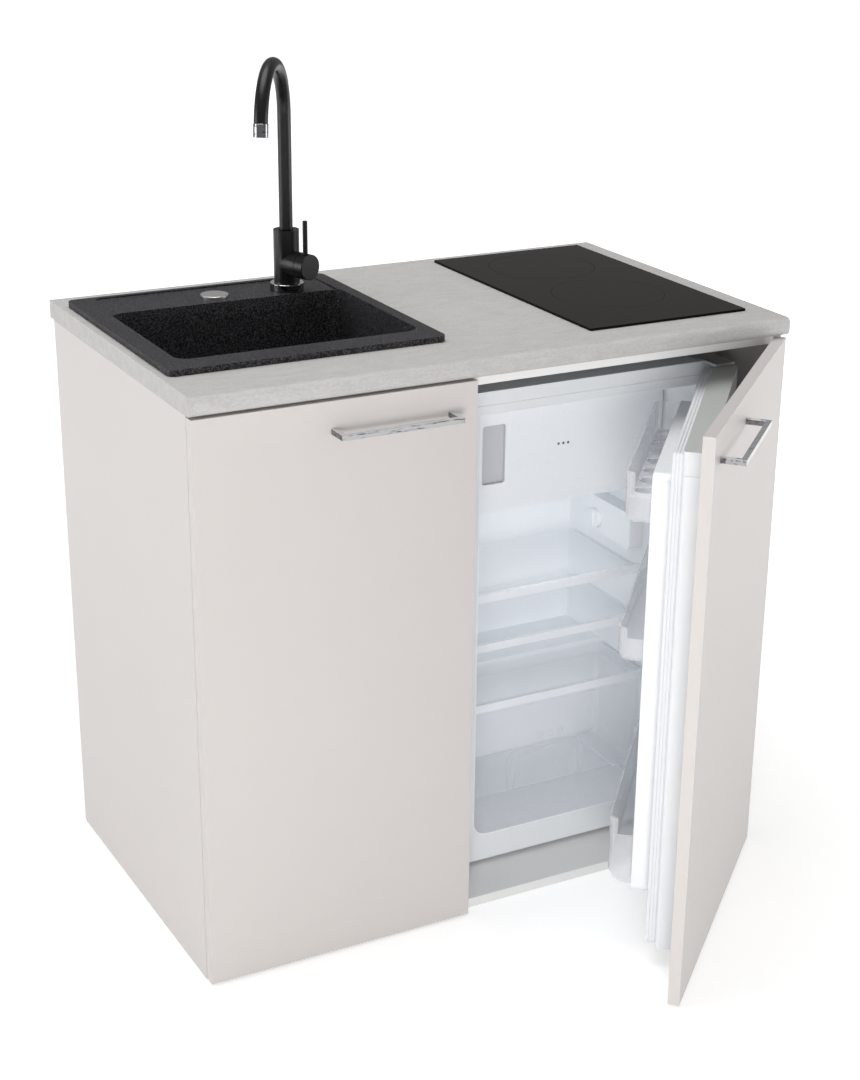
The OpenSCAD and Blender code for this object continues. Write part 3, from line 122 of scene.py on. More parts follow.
class Finish:
    """A material and the nodes that make it."""

    def __init__(self, name, colour, roughness, **steady):
        self.material = bpy.data.materials.new(name)
        self.material.use_nodes = True
        self.material.diffuse_color = (*colour, 1)
        self.tree = self.material.node_tree
        self.shader = self.tree.nodes["Principled BSDF"]
        self.colour = (*colour, 1)
        self.feed("Base Color", self.colour)
        self.feed("Roughness", roughness)
        for socket, value in steady.items():
            self.feed(socket.replace("_", " ").title().replace("Ior", "IOR"), value)

    def node(self, kind, settings=None, sockets=None):
        made = self.tree.nodes.new(kind)
        for name, value in (settings or {}).items():
            if name == "stops":
                for stop, (place, shade) in zip(self._stops(made, len(value)), value):
                    stop.position = place
                    stop.color = (*shade, 1) if len(shade) == 3 else shade
            else:
                setattr(made, name, value)
        for name, value in (sockets or {}).items():
            self._join(made.inputs[name], value)
        return made

    def _stops(self, ramp, count):
        found = ramp.color_ramp.elements
        while len(found) < count:
            found.new(0.5)
        return found

    def _join(self, socket, value):
        if isinstance(value, Term):
            self.tree.links.new(socket, value.socket)
        elif isinstance(value, bpy.types.NodeSocket):
            self.tree.links.new(socket, value)
        else:
            socket.default_value = value

    def feed(self, name, value):
        self._join(self.shader.inputs[name], value)

    def place(self):
        """The surface's place on the unit, in metres."""
        if not hasattr(self, "_place"):
            self._place = self.node("ShaderNodeTexCoord").outputs["Object"]
        return self._place

    def along(self):
        """The three parts of the place."""
        if not hasattr(self, "_along"):
            parts = self.node("ShaderNodeSeparateXYZ", None, {0: self.place()})
            self._along = [Term(self, o) for o in parts.outputs]
        return self._along

    def cloud(self, size, detail=2.0, roughness=0.5, place=None):
        """Soft noise whose features are about size metres across."""
        sockets = {"Vector": place or self.place(), "Scale": 1 / size, "Detail": detail}
        sockets["Roughness"] = roughness
        return Term(self, self.node("ShaderNodeTexNoise", None, sockets).outputs[0])

    def cells(self, size, feature="F1"):
        """Distance from the middle, or the edge, of cells that are about size metres across."""
        sockets = {"Vector": self.place(), "Scale": 1 / size}
        made = self.node("ShaderNodeTexVoronoi", {"feature": feature}, sockets)
        return Term(self, made.outputs["Distance"])

    def ramp(self, value, low, high):
        """0 below low, 1 above high and smooth between."""
        sockets = {"Value": value, "From Min": low, "From Max": high}
        settings = {"interpolation_type": "SMOOTHSTEP"}
        return Term(self, self.node("ShaderNodeMapRange", settings, sockets).outputs[0])

    def blend(self, factor, one, other):
        """One colour where factor is 0 and the other where it is 1."""
        settings = {"data_type": "RGBA", "clamp_factor": True}
        made = self.node("ShaderNodeMix", settings, {0: factor, 6: one, 7: other})
        return made.outputs[2]

    def tint(self, factor, light, dark):
        """The finish's colour times a number between light and dark."""
        one = (*[min(1, c * light) for c in self.colour[:3]], 1)
        other = (*[min(1, c * dark) for c in self.colour[:3]], 1)
        return self.blend(factor, one, other)

    def bump(self, height, depth):
        """Raises the surface by height times depth, in metres."""
        sockets = {"Height": height, "Distance": depth, "Strength": 1.0}
        self.feed("Normal", self.node("ShaderNodeBump", None, sockets).outputs[0])

    def stretched(self, *scale):
        """The place with its axes scaled: noise runs long where the scale is small."""
        sockets = {"Vector": self.place(), "Scale": scale}
        return self.node("ShaderNodeMapping", None, sockets).outputs[0]

    def facing(self):
        """The way the surface faces, and how far it looks up: 1 on top and 0 on a side."""
        normal = self.node("ShaderNodeNewGeometry").outputs["Normal"]
        parts = self.node("ShaderNodeSeparateXYZ", None, {0: normal})
        return normal, Term(self, parts.outputs["Z"])

    def outline(self, blend):
        """Near 0 where the surface faces the eye and 1 at its outline."""
        made = self.node("ShaderNodeLayerWeight", None, {"Blend": blend})
        return Term(self, made.outputs["Facing"])


FINISHES = {}


def front_laminate(look):
    f = Finish("front_laminate", look.front_colour, 0.42)
    pores = f.cloud(0.0011, 3)
    f.feed("Base Color", f.tint(f.cloud(0.16, 2), 1.012, 0.985))
    f.feed("Roughness", f.ramp(pores, 0.2, 0.8) * 0.08 + 0.4)
    f.bump(pores, 0.00002)
    return f


def board_white(look):
    f = Finish("board_white", look.board_colour, 0.45)
    pores = f.cloud(0.0012, 3)
    f.feed("Base Color", f.tint(f.cloud(0.12, 2), 1.01, 0.985))
    f.bump(pores, 0.00002)
    return f


def stone_laminate(look):
    """Pale grey laminate with a fine woven stone grain: short light and dark flecks."""
    f = Finish("stone_laminate", look.top_colour, 0.5, specular_ior_level=0.3)
    lengthwise = f.stretched(0.3, 1.0, 1.0)
    fine = f.cloud(0.0011, 3, 0.7)
    weave = f.cloud(0.0016, 3, 0.65, lengthwise)
    coarse = f.cloud(0.012, 3, 0.6, lengthwise)
    grain = fine * 0.35 + weave * 0.4 + coarse * 0.25
    f.feed("Base Color", f.tint(f.ramp(grain, 0.38, 0.62), 1.1, 0.88))
    f.feed("Roughness", f.ramp(fine, 0.3, 0.7) * 0.14 + 0.44)
    f.bump(weave, 0.00004)
    return f


def sink_granite(look):
    """Cast granite: near black, thick with fine grey grains."""
    f = Finish("sink_granite", look.sink_colour, 0.5, specular_ior_level=0.2)
    mist = f.cloud(0.0024, 3, 0.8)
    grains = f.ramp(mist, 0.46, 0.60)
    chips = f.ramp(f.cells(0.0026), 0.40, 0.20) * f.ramp(f.cloud(0.006, 2), 0.42, 0.62)
    black = (*[c * 0.35 for c in look.sink_colour], 1)
    grey = (*[min(1, c * 4.5) for c in look.sink_colour], 1)
    f.feed("Base Color", f.blend(grains.largest(chips * 0.9), black, grey))
    f.feed("Roughness", mist * 0.2 + 0.38)
    f.bump(mist, 0.0001)
    return f


def matt_black(look):
    f = Finish("matt_black", look.tap_colour, 0.38, specular_ior_level=0.36)
    orange_peel = f.cloud(0.0009, 2)
    f.feed("Roughness", f.ramp(orange_peel, 0.3, 0.7) * 0.08 + 0.3)
    f.bump(orange_peel, 0.00002)
    return f


def chrome(look):
    """Polished chrome with painted reflection: its sides darken by the way they face, with dark
    streaks, for want of a dark room.
    """
    f = Finish("chrome", (0.86, 0.87, 0.89), 0.08, metallic=1.0)
    facing, up = f.facing()
    reflection_by_facing = f.cloud(0.75, 1, 0.4, facing)
    reflection_streak_place = f.stretched(0.12, 1.0, 1.0)
    # Painted reflection: darker where a face looks down or aside, in patches set by its facing and
    # in long streaks, blended toward near black.
    dark = (1 - f.ramp(up, 0.1, 0.8)) * 0.68 + f.ramp(reflection_by_facing, 0.42, 0.66) * 0.4
    dark = dark + f.ramp(f.cloud(0.004, 2, 0.6, reflection_streak_place), 0.52, 0.66) * 0.35
    f.feed("Base Color", f.blend(dark, f.colour, (0.10, 0.10, 0.105, 1)))
    f.feed("Roughness", f.cloud(0.02, 2) * 0.05 + 0.05)
    return f


def plain_steel(look):
    f = Finish("plain_steel", (0.6, 0.61, 0.62), 0.34, metallic=1.0)
    lines = f.cloud(0.02, 3, 0.6, f.stretched(1, 30, 1))
    f.feed("Roughness", lines * 0.2 + 0.25)
    f.feed("Base Color", f.tint(lines, 1.05, 0.9))
    return f


def black_glass(look):
    """The hob's plate: black glass with a thin darker ring printed round each zone."""
    f = Finish("black_glass", (0.008, 0.006, 0.005), 0.07, specular_ior_level=0.04)
    x, y, _ = f.along()
    marks = None
    zones = ((look.zone_front_y, look.zone_front), (look.zone_rear_y, look.zone_rear))
    for middle_y, across in zones:
        away = ((x - look.zone_x) ** 2 + (y - middle_y) ** 2).root()
        line = 1 - f.ramp(abs(away - across / 2), 0.0006, 0.0011)
        marks = line if marks is None else marks.largest(line)
    f.feed("Base Color", f.blend(marks * 0.8, f.colour, (0.004, 0.004, 0.004, 1)))
    f.feed("Roughness", marks * 0.25 + f.cloud(0.05, 2) * 0.04 + 0.07)
    return f


def white_plastic(look):
    f = Finish("white_plastic", look.plastic_colour, 0.28)
    f.feed("Base Color", f.tint(f.cloud(0.09, 2), 1.0, 0.975))
    f.feed("Roughness", f.cloud(0.003, 2) * 0.1 + 0.24)
    f.bump(f.cloud(0.004, 2), 0.00004)
    return f


def coated_steel(look):
    f = Finish("coated_steel", look.case_colour, 0.34)
    peel = f.cloud(0.0022, 2)
    f.feed("Base Color", f.tint(f.cloud(0.1, 2), 1.0, 0.97))
    f.bump(peel, 0.00003)
    return f


def clear_glass(look):
    f = Finish("clear_glass", look.glass_colour, 0.05)
    f.feed("Alpha", f.cloud(0.05, 1) * 0.01 + f.outline(0.35) * 0.10 + 0.012)
    return f


def clear_plastic(look):
    f = Finish("clear_plastic", look.clear_colour, 0.08)
    f.feed("Alpha", f.cloud(0.04, 2) * 0.02 + f.outline(0.4) * 0.22 + 0.03)
    f.bump(f.cloud(0.012, 2), 0.0001)
    return f


def bin_plastic(look):
    """The same plastic as the drawer's, a little milky."""
    f = clear_plastic(look)
    f.material.name = "bin_plastic"
    f.feed("Alpha", f.cloud(0.03, 2) * 0.05 + f.outline(0.45) * 0.42 + 0.14)
    return f


def gasket_rubber(look):
    f = Finish("gasket_rubber", look.gasket_colour, 0.5)
    f.feed("Base Color", f.tint(f.cloud(0.02, 2), 1.0, 0.94))
    f.bump(f.cloud(0.002, 2), 0.00004)
    return f


def black_rubber(look):
    f = Finish("black_rubber", (0.03, 0.03, 0.03), 0.7)
    f.bump(f.cloud(0.001, 2), 0.00008)
    f.feed("Roughness", f.cloud(0.006, 2) * 0.15 + 0.62)
    return f


def black_plastic(look):
    f = Finish("black_plastic", (0.04, 0.04, 0.042), 0.5)
    f.bump(f.cloud(0.0012, 2), 0.00005)
    f.feed("Roughness", f.cloud(0.006, 2) * 0.12 + 0.42)
    return f


def heater_board(look):
    f = Finish("heater_board", (0.72, 0.69, 0.6), 0.9)
    f.feed("Base Color", f.tint(f.cloud(0.003, 4, 0.7), 1.08, 0.85))
    f.bump(f.cloud(0.0015, 4, 0.7), 0.0003)
    return f


def board_green(look):
    f = Finish("board_green", (0.05, 0.2, 0.09), 0.35)
    tracks = f.cells(0.004, "DISTANCE_TO_EDGE")
    f.feed("Base Color", f.blend(f.ramp(tracks, 0.12, 0.06), f.colour, (0.12, 0.36, 0.15, 1)))
    return f


def machine_black(look):
    f = Finish("machine_black", (0.022, 0.022, 0.024), 0.45)
    f.feed("Roughness", f.cloud(0.01, 3) * 0.2 + 0.35)
    f.bump(f.cloud(0.0016, 2), 0.00008)
    return f


def door_steel(look):
    """The coated door. Its faces that look up are greyed with painted shade, as the worktop above
    shades them.
    """
    f = coated_steel(look)
    f.material.name = "door_steel"
    _, up = f.facing()
    sheet = f.tint(f.cloud(0.1, 2), 1.0, 0.97)
    # Painted shade: the grey given to faces that look up, standing in for the shade under the
    # worktop.
    cap = (0.50, 0.52, 0.50, 1)
    f.feed("Base Color", f.blend(f.ramp(up, 0.5, 0.95), sheet, cap))
    return f


def flap_plastic(look):
    """White moulding with a grey grip and three dark dots."""
    f = white_plastic(look)
    f.material.name = "flap_plastic"
    x, y, z = f.along()
    left, right, low, high = 0.061, 0.107, 0.648, 0.751
    grip = f.ramp(y, -0.1025, -0.1015) * (x < right) * (x > left) * (z > low) * (z < high)
    grey, dark = (0.58, 0.58, 0.61, 1), (0.11, 0.11, 0.12, 1)
    shade = f.blend(grip, f.tint(f.cloud(0.09, 2), 1.0, 0.975), grey)
    dot_x, dot_z, pitch = 0.213, 0.701, 0.009
    for step in (-1, 0, 1):
        away = ((x - (dot_x + pitch * step)) ** 2 + (z - dot_z) ** 2).root()
        shade = f.blend(1 - f.ramp(away, 0.0019, 0.0025), shade, dark)
    f.feed("Base Color", shade)
    return f


def knob_steel(look):
    f = Finish("knob_steel", (0.74, 0.73, 0.71), 0.3, metallic=1.0)
    f.feed("Roughness", f.cloud(0.0015, 3) * 0.15 + 0.24)
    return f


MAKERS = {
    "front_laminate": front_laminate,
    "carcass_board": board_white,
    "worktop_laminate": stone_laminate,
    "sink_granite": sink_granite,
    "plated_steel": plain_steel,
    "chrome": chrome,
    "white_plastic": white_plastic,
    "matt_black_metal": matt_black,
    "hob_glass": black_glass,
    "heater_insulation": heater_board,
    "circuit_board": board_green,
    "white_coated_steel": coated_steel,
    "shelf_glass": clear_glass,
    "clear_plastic": clear_plastic,
    "bin_plastic": bin_plastic,
    "black_rubber": black_rubber,
    "black_plastic": black_plastic,
    "gasket_rubber": gasket_rubber,
    "machine_black": machine_black,
    "flap_plastic": flap_plastic,
    "door_steel": door_steel,
    "knob_steel": knob_steel,
}
OWN_FINISH = {
    "compressor": "machine_black",
    "condenser": "machine_black",
    "freezer_flap": "flap_plastic",
    "fridge_door_shell": "door_steel",
}
# Nodes whose looks are the CAD shape with rounded edges: the rounding in metres, and its steps
SOFTENED = {
    "side_panel_left": (0.0008, 2),
    "side_panel_right": (0.0008, 2),
    "centre_divider": (0.0006, 2),
    "base_panel": (0.0006, 2),
    "back_panel": (0.0004, 1),
    "front_rails": (0.0006, 2),
    "rear_rails": (0.0006, 2),
    "worktop": (0.0005, 2),
    "left_door_panel": (0.0009, 3),
    "right_door_panel": (0.0009, 3),
    "left_handle": (0.0009, 3),
    "right_handle": (0.0009, 3),
    "hob_glass": (0.0008, 3),
    "hob_housing": (0.0006, 2),
    "heater_front": (0.0006, 2),
    "heater_rear": (0.0006, 2),
    "bottle_trap": (0.0010, 3),
    "waste_flange": (0.0006, 2),
    "strainer_plug": (0.0005, 2),
    "faucet_nut": (0.0006, 2),
    "fridge_cabinet": (0.0015, 3),
    "fridge_liner": (0.0008, 2),
    "freezer_box": (0.001, 2),
    "freezer_flap": (0.002, 3),
    "glass_shelves": (0.0008, 2),
    "crisper_cover": (0.0008, 2),
    "shelf_trims": (0.0012, 3),
    "thermostat_housing": (0.003, 4),
    "thermostat_dial": (0.001, 3),
    "compressor": (0.0015, 3),
    "compressor_tray": (0.0004, 2),
    "condenser": (0.0, 0),
    "fridge_feet": (0.001, 2),
    "fridge_door_shell": (0.0012, 3),
    "fridge_door_liner": (0.004, 4),
    "slide_brackets": (0.0008, 2),
    "slide_rails": (0.0006, 2),
    "fridge_hinge_plates": (0.0006, 2),
    "hinge_arms": (0.0006, 2),
    "left_hinge_cups": (0.0005, 2),
    "right_hinge_cups": (0.0005, 2),
    "right_hinge_links": (0.0006, 2),
}


# Settings ---------------------------------------------------------------------------------------


def length(name, text, value, top=2.0):
    return bpy.props.FloatProperty(
        name=name, description=text, default=value, min=-top, max=top,
        subtype="DISTANCE", unit="LENGTH",
    )


def turn(name, text, value):
    return bpy.props.FloatProperty(name=name, description=text, default=value, subtype="ANGLE")


def colour(name, text, value):
    return bpy.props.FloatVectorProperty(
        name=name, description=text, default=value, min=0, max=1, size=3, subtype="COLOR"
    )


class KitchenetteLook(bpy.types.PropertyGroup):
    """Colours of the finishes and places of the marks on the hob."""

    front_colour: colour("Fronts", "Laminate of the fronts and sides", (0.635, 0.60, 0.58))
    board_colour: colour("Carcass", "Laminate inside the carcass", (0.84, 0.835, 0.825))
    top_colour: colour("Worktop", "Stone laminate of the worktop", (0.535, 0.525, 0.517))
    sink_colour: colour("Sink", "Cast granite of the sink", (0.020, 0.0188, 0.0206))
    tap_colour: colour("Tap", "Matt coat of the tap", (0.005, 0.005, 0.0055))
    plastic_colour: colour("Liner", "Plastic inside the fridge", (0.90, 0.918, 0.94))
    case_colour: colour("Fridge case", "Coated sheet of the fridge", (0.82, 0.84, 0.86))
    glass_colour: colour("Shelf glass", "Glass of the shelves", (0.87, 0.925, 0.95))
    clear_colour: colour("Clear plastic", "Bins and drawer", (0.90, 0.91, 0.94))
    gasket_colour: colour("Gasket", "Soft gasket of the fridge door", (0.80, 0.82, 0.84))
    zone_x: length("Zones", "Middle of the hob's zones, across", 0.31775)
    zone_front_y: length("Front zone", "Middle of the front zone", -0.055)
    zone_rear_y: length("Rear zone", "Middle of the rear zone", 0.154)
    zone_front: length("Front ring", "Ring of the front zone", 0.184)
    zone_rear: length("Rear ring", "Ring of the rear zone", 0.180)


class KitchenetteStage(bpy.types.PropertyGroup):
    """Camera, floor and lamps."""

    eye: bpy.props.FloatVectorProperty(
        name="Camera", description="Where the camera stands",
        default=(-1.4213, -2.7176, 1.7014), subtype="TRANSLATION", unit="LENGTH",
    )
    yaw: turn("Yaw", "Turn to the right", 0.5063)
    pitch: turn("Pitch", "Tilt down", 0.3856)
    roll: turn("Roll", "Turn of the frame", 0.0158)
    lens: bpy.props.FloatProperty(
        name="Lens", description="Focal length", default=66.53, min=10, max=300
    )
    world: bpy.props.FloatProperty(
        name="Room light", description="Even light from all round", default=0.30, min=0
    )


# Modelling helpers ------------------------------------------------------------------------------


def deselect():
    if bpy.context.object and bpy.context.object.mode != "OBJECT":
        bpy.ops.object.mode_set(mode="OBJECT")
    bpy.ops.object.select_all(action="DESELECT")


def pick(thing):
    deselect()
    thing.select_set(True)
    bpy.context.view_layer.objects.active = thing


def settle():
    """Puts the active object's place into its mesh and returns it."""
    bpy.ops.object.transform_apply(location=True, rotation=True, scale=True)
    return bpy.context.object


def apply_place(thing, place):
    """Moves a thing by a matrix, mesh and all."""
    thing.matrix_world = place @ thing.matrix_world
    pick(thing)
    settle()


def apply_modifiers(thing):
    pick(thing)
    for m in list(thing.modifiers):
        bpy.ops.object.modifier_apply(modifier=m.name)


def dress(thing, name, body, finish, slot, *replaced):
    """Names a finished piece, gives it its finish and lets it ride."""
    thing.name = name
    thing.data.name = name
    thing.data.materials.clear()
    thing.data.materials.append(FINISHES[finish].material)
    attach(thing, body)
    if replaced:
        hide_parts(*replaced)
    return thing


def smooth(thing, angle=30):
    """Smooth shading up to an angle, with large flat faces kept flat."""
    pick(thing)
    bpy.ops.object.shade_smooth_by_angle(angle=math.radians(angle))
    m = thing.modifiers.new("even", "WEIGHTED_NORMAL")
    m.keep_sharp = True
    m.weight = 60
    apply_modifiers(thing)


def soften(thing, width, segments=3, limit=30):
    """Rounds the edges, as a moulded or banded piece has them."""
    m = thing.modifiers.new("soften", "BEVEL")
    m.width = width
    m.segments = segments
    m.limit_method = "ANGLE"
    m.angle_limit = math.radians(limit)
    m.harden_normals = False
    apply_modifiers(thing)


def on_door():
    """From the shut fridge door's own frame, at its pivot, to where it stands open."""
    return Matrix.Translation(DOOR_PIVOT) @ Matrix.Rotation(math.radians(DOOR_ANGLE), 4, "Z")


def choose(thing, kind, test):
    """Selects, in edit mode, the faces, edges or points for which test is true."""
    pick(thing)
    bpy.ops.object.mode_set(mode="EDIT")
    bpy.ops.mesh.select_mode(type={"faces": "FACE", "edges": "EDGE", "verts": "VERT"}[kind])
    bpy.ops.mesh.select_all(action="DESELECT")
    mesh = bmesh.from_edit_mesh(thing.data)
    found = 0
    for item in getattr(mesh, kind):
        if test(item):
            item.select_set(True)
            found += 1
    mesh.select_flush_mode()
    bmesh.update_edit_mesh(thing.data)
    if not found:
        raise RuntimeError(f"nothing to work on in {thing.name}")


def middle(item):
    """The middle of an edge or a face."""
    if isinstance(item, bmesh.types.BMFace):
        return item.calc_center_median()
    return (item.verts[0].co + item.verts[1].co) / 2


def runs_along(edge, axis):
    d = edge.verts[1].co - edge.verts[0].co
    return d.length > 1e-7 and abs(d[axis]) > 0.95 * d.length


def upright(edge):
    return runs_along(edge, 2)


def looks_up(face):
    return face.normal.z > 0.99


def done():
    bpy.ops.object.mode_set(mode="OBJECT")


def block(low, high):
    """A box between two corners, to be shaped further."""
    deselect()
    at = [(a + b) / 2 for a, b in zip(low, high)]
    bpy.ops.mesh.primitive_cube_add(size=1, location=at)
    thing = bpy.context.object
    thing.scale = [b - a for a, b in zip(low, high)]
    return settle()


def rod(radius, z0, z1, at=(0, 0), vertices=64):
    """An upright round bar between two heights, to be shaped further."""
    deselect()
    bpy.ops.mesh.primitive_cylinder_add(
        vertices=vertices, radius=radius, depth=z1 - z0, location=(at[0], at[1], (z0 + z1) / 2)
    )
    return settle()


def hoop(at, radius, wire, around, section, tilt=(0, 0, 0)):
    """A round ring of wire, to be shaped further."""
    deselect()
    bpy.ops.mesh.primitive_torus_add(
        location=at, rotation=tilt, major_radius=radius, minor_radius=wire,
        major_segments=around, minor_segments=section,
    )
    return settle()


def round_edges(thing, radius, segments, test):
    choose(thing, "edges", test)
    bpy.ops.mesh.bevel(
        offset=radius, offset_type="OFFSET", segments=segments, affect="EDGES", clamp_overlap=True
    )
    done()


def cut(thing, tool, operation="DIFFERENCE"):
    """Takes the tool away from the thing, or joins it on, and removes the tool."""
    m = thing.modifiers.new("cut", "BOOLEAN")
    m.operation = operation
    m.object = tool
    m.solver = "EXACT"
    apply_modifiers(thing)
    bpy.data.objects.remove(tool)


def draw_out(by):
    """Extrudes the chosen end by a vector."""
    bpy.ops.mesh.extrude_region_move(TRANSFORM_OT_translate={"value": by})


def swing(centre, axis, degrees, steps):
    """Carries the chosen end on round a centre, about the axis by the right-hand rule."""
    bpy.ops.mesh.spin(steps=steps, angle=math.radians(degrees), center=centre, axis=-Vector(axis))


def wire_end(radius, at, vertices=12):
    """A round disc that looks up, in edit mode, from which a wire is drawn out."""
    deselect()
    bpy.ops.mesh.primitive_circle_add(
        vertices=vertices, radius=radius, location=at, fill_type="NGON"
    )
    thing = settle()
    choose(thing, "faces", lambda f: True)
    return thing


def raise_inset(width, rise):
    """Insets the chosen faces and lifts what is left in the middle."""
    bpy.ops.mesh.inset(thickness=width)
    bpy.ops.transform.translate(value=(0, 0, rise))


def close_up(thing):
    """Leaves edit mode with seams joined and faces turned outwards."""
    choose(thing, "faces", lambda f: True)
    bpy.ops.mesh.remove_doubles(threshold=0.00002)
    bpy.ops.mesh.normals_make_consistent(inside=False)
    done()


def join(things):
    """Makes one object of several."""
    deselect()
    for thing in things:
        thing.select_set(True)
    bpy.context.view_layer.objects.active = things[0]
    bpy.ops.object.join()
    return things[0]


def repeat(thing, count, step):
    """Repeats a piece in a row."""
    m = thing.modifiers.new("row", "ARRAY")
    m.count = count
    m.use_relative_offset = False
    m.use_constant_offset = True
    m.constant_offset_displace = step
    apply_modifiers(thing)


def merged_copy(node):
    """A copy of a CAD node with its loose triangles joined and its flat faces made whole."""
    source = NODES[node]
    thing = source.copy()
    thing.data = source.data.copy()
    for key in list(thing.keys()):
        del thing[key]
    thing.parent = None
    bpy.context.scene.collection.objects.link(thing)
    thing.name = node + ".dressed"
    pick(thing)
    bpy.ops.object.mode_set(mode="EDIT")
    bpy.ops.mesh.select_all(action="SELECT")
    bpy.ops.mesh.remove_doubles(threshold=0.00001)
    bpy.ops.mesh.dissolve_limited(angle_limit=math.radians(0.3))
    done()
    return thing


# Operators --------------------------------------------------------------------------------------


class KITCHENETTE_OT_finishes(bpy.types.Operator):
    """Makes the finishes and gives each CAD node its own"""

    bl_idname = "kitchenette.finishes"
    bl_label = "Finishes"

    def execute(self, context):
        look = context.scene.kitchenette_look
        for name, maker in MAKERS.items():
            FINISHES[name] = maker(look)
        for part in FRAME["record"]["subparts"]:
            node = NODES[part["node"]]
            kind = OWN_FINISH.get(part["node"], part["material_slot"])
            node.data.materials.clear()
            node.data.materials.append(FINISHES[kind].material)
        return {"FINISHED"}


class KITCHENETTE_OT_boards(bpy.types.Operator):
    """Rounds the edges of boards, fronts, handles and mouldings, as bands and moulds leave them"""

    bl_idname = "kitchenette.boards"
    bl_label = "Boards and mouldings"

    def execute(self, context):
        riders = FRAME["record"]["behaviour"]["bodies"]
        bodies = {node: body for body, nodes in riders.items() for node in nodes}
        slots = {p["node"]: p["material_slot"] for p in FRAME["record"]["subparts"]}
        for node, (width, segments) in SOFTENED.items():
            thing = merged_copy(node)
            if segments:
                soften(thing, width, segments)
            smooth(thing)
            kind = OWN_FINISH.get(node, slots[node])
            dress(thing, node + ".dressed", bodies[node], kind, slots[node], node)
        return {"FINISHED"}


class KITCHENETTE_OT_sink(bpy.types.Operator):
    """Casts the sink: a rim with a sunk ledge, a bowl with leaning walls and round corners"""

    bl_idname = "kitchenette.sink"
    bl_label = "Sink"

    wall = 0.007
    waste_hole, tap_hole, knob_hole = 0.045, 0.0175, 0.0041

    def execute(self, context):
        low, high = Vector((-0.488, -0.193, 0.922)), Vector((-0.0505, 0.249, 0.9315))
        sink = block(low, high)
        round_edges(sink, 0.012, 8, upright)
        cut(sink, self.bowl(self.wall, 0.923), "UNION")
        cut(sink, self.bowl(0.0, 0.94))
        cut(sink, self.ledge(high.z))
        cut(sink, rod(self.waste_hole, 0.74, 0.78, BOWL_MIDDLE))
        cut(sink, rod(self.tap_hole, 0.9, 0.94, TAP_AT, 48))
        cut(sink, rod(self.knob_hole, 0.9, 0.94, KNOB_AT, 32))
        soften(sink, 0.0017, 4, 38)
        smooth(sink, 32)
        dress(sink, "sink", "cabinet", "sink_granite", "sink_granite", "sink_bowl")
        return {"FINISHED"}

    def bowl(self, grow, top):
        """The bowl's hollow, grown by its wall."""
        low = (-0.457 - grow, -0.147 - grow, BOWL_FLOOR - grow)
        thing = block(low, (-0.070 + grow, 0.145 + grow, top))
        choose(thing, "faces", lambda f: f.normal.z < -0.9)
        lean, width, depth = 0.012, 0.387, 0.292
        shrink = (1 - 2 * lean / width, 1 - 2 * lean / depth, 1)
        bpy.ops.transform.resize(value=shrink, center_override=(*BOWL_MIDDLE, BOWL_FLOOR))
        done()
        radius = 0.022 + grow
        round_edges(thing, radius, 8, upright)
        low_enough = 0.7605 - grow
        round_edges(thing, radius * 0.98, 7, lambda e: max(v.co.z for v in e.verts) < low_enough)
        return thing

    def ledge(self, top):
        """The sunk tap ledge behind the bowl. Its left end slants to the bowl's corner."""
        right, back = -0.0745, 0.240
        thing = block((-0.4565, 0.122, top - 0.002), (right, back, top + 0.01))
        choose(thing, "faces", lambda f: f.normal.y > 0.9)
        bpy.ops.transform.resize(value=(0.97, 1, 1), center_override=(right, back, top))
        done()
        round_edges(thing, 0.009, 6, lambda e: upright(e) and middle(e).y > 0.2)
        return thing


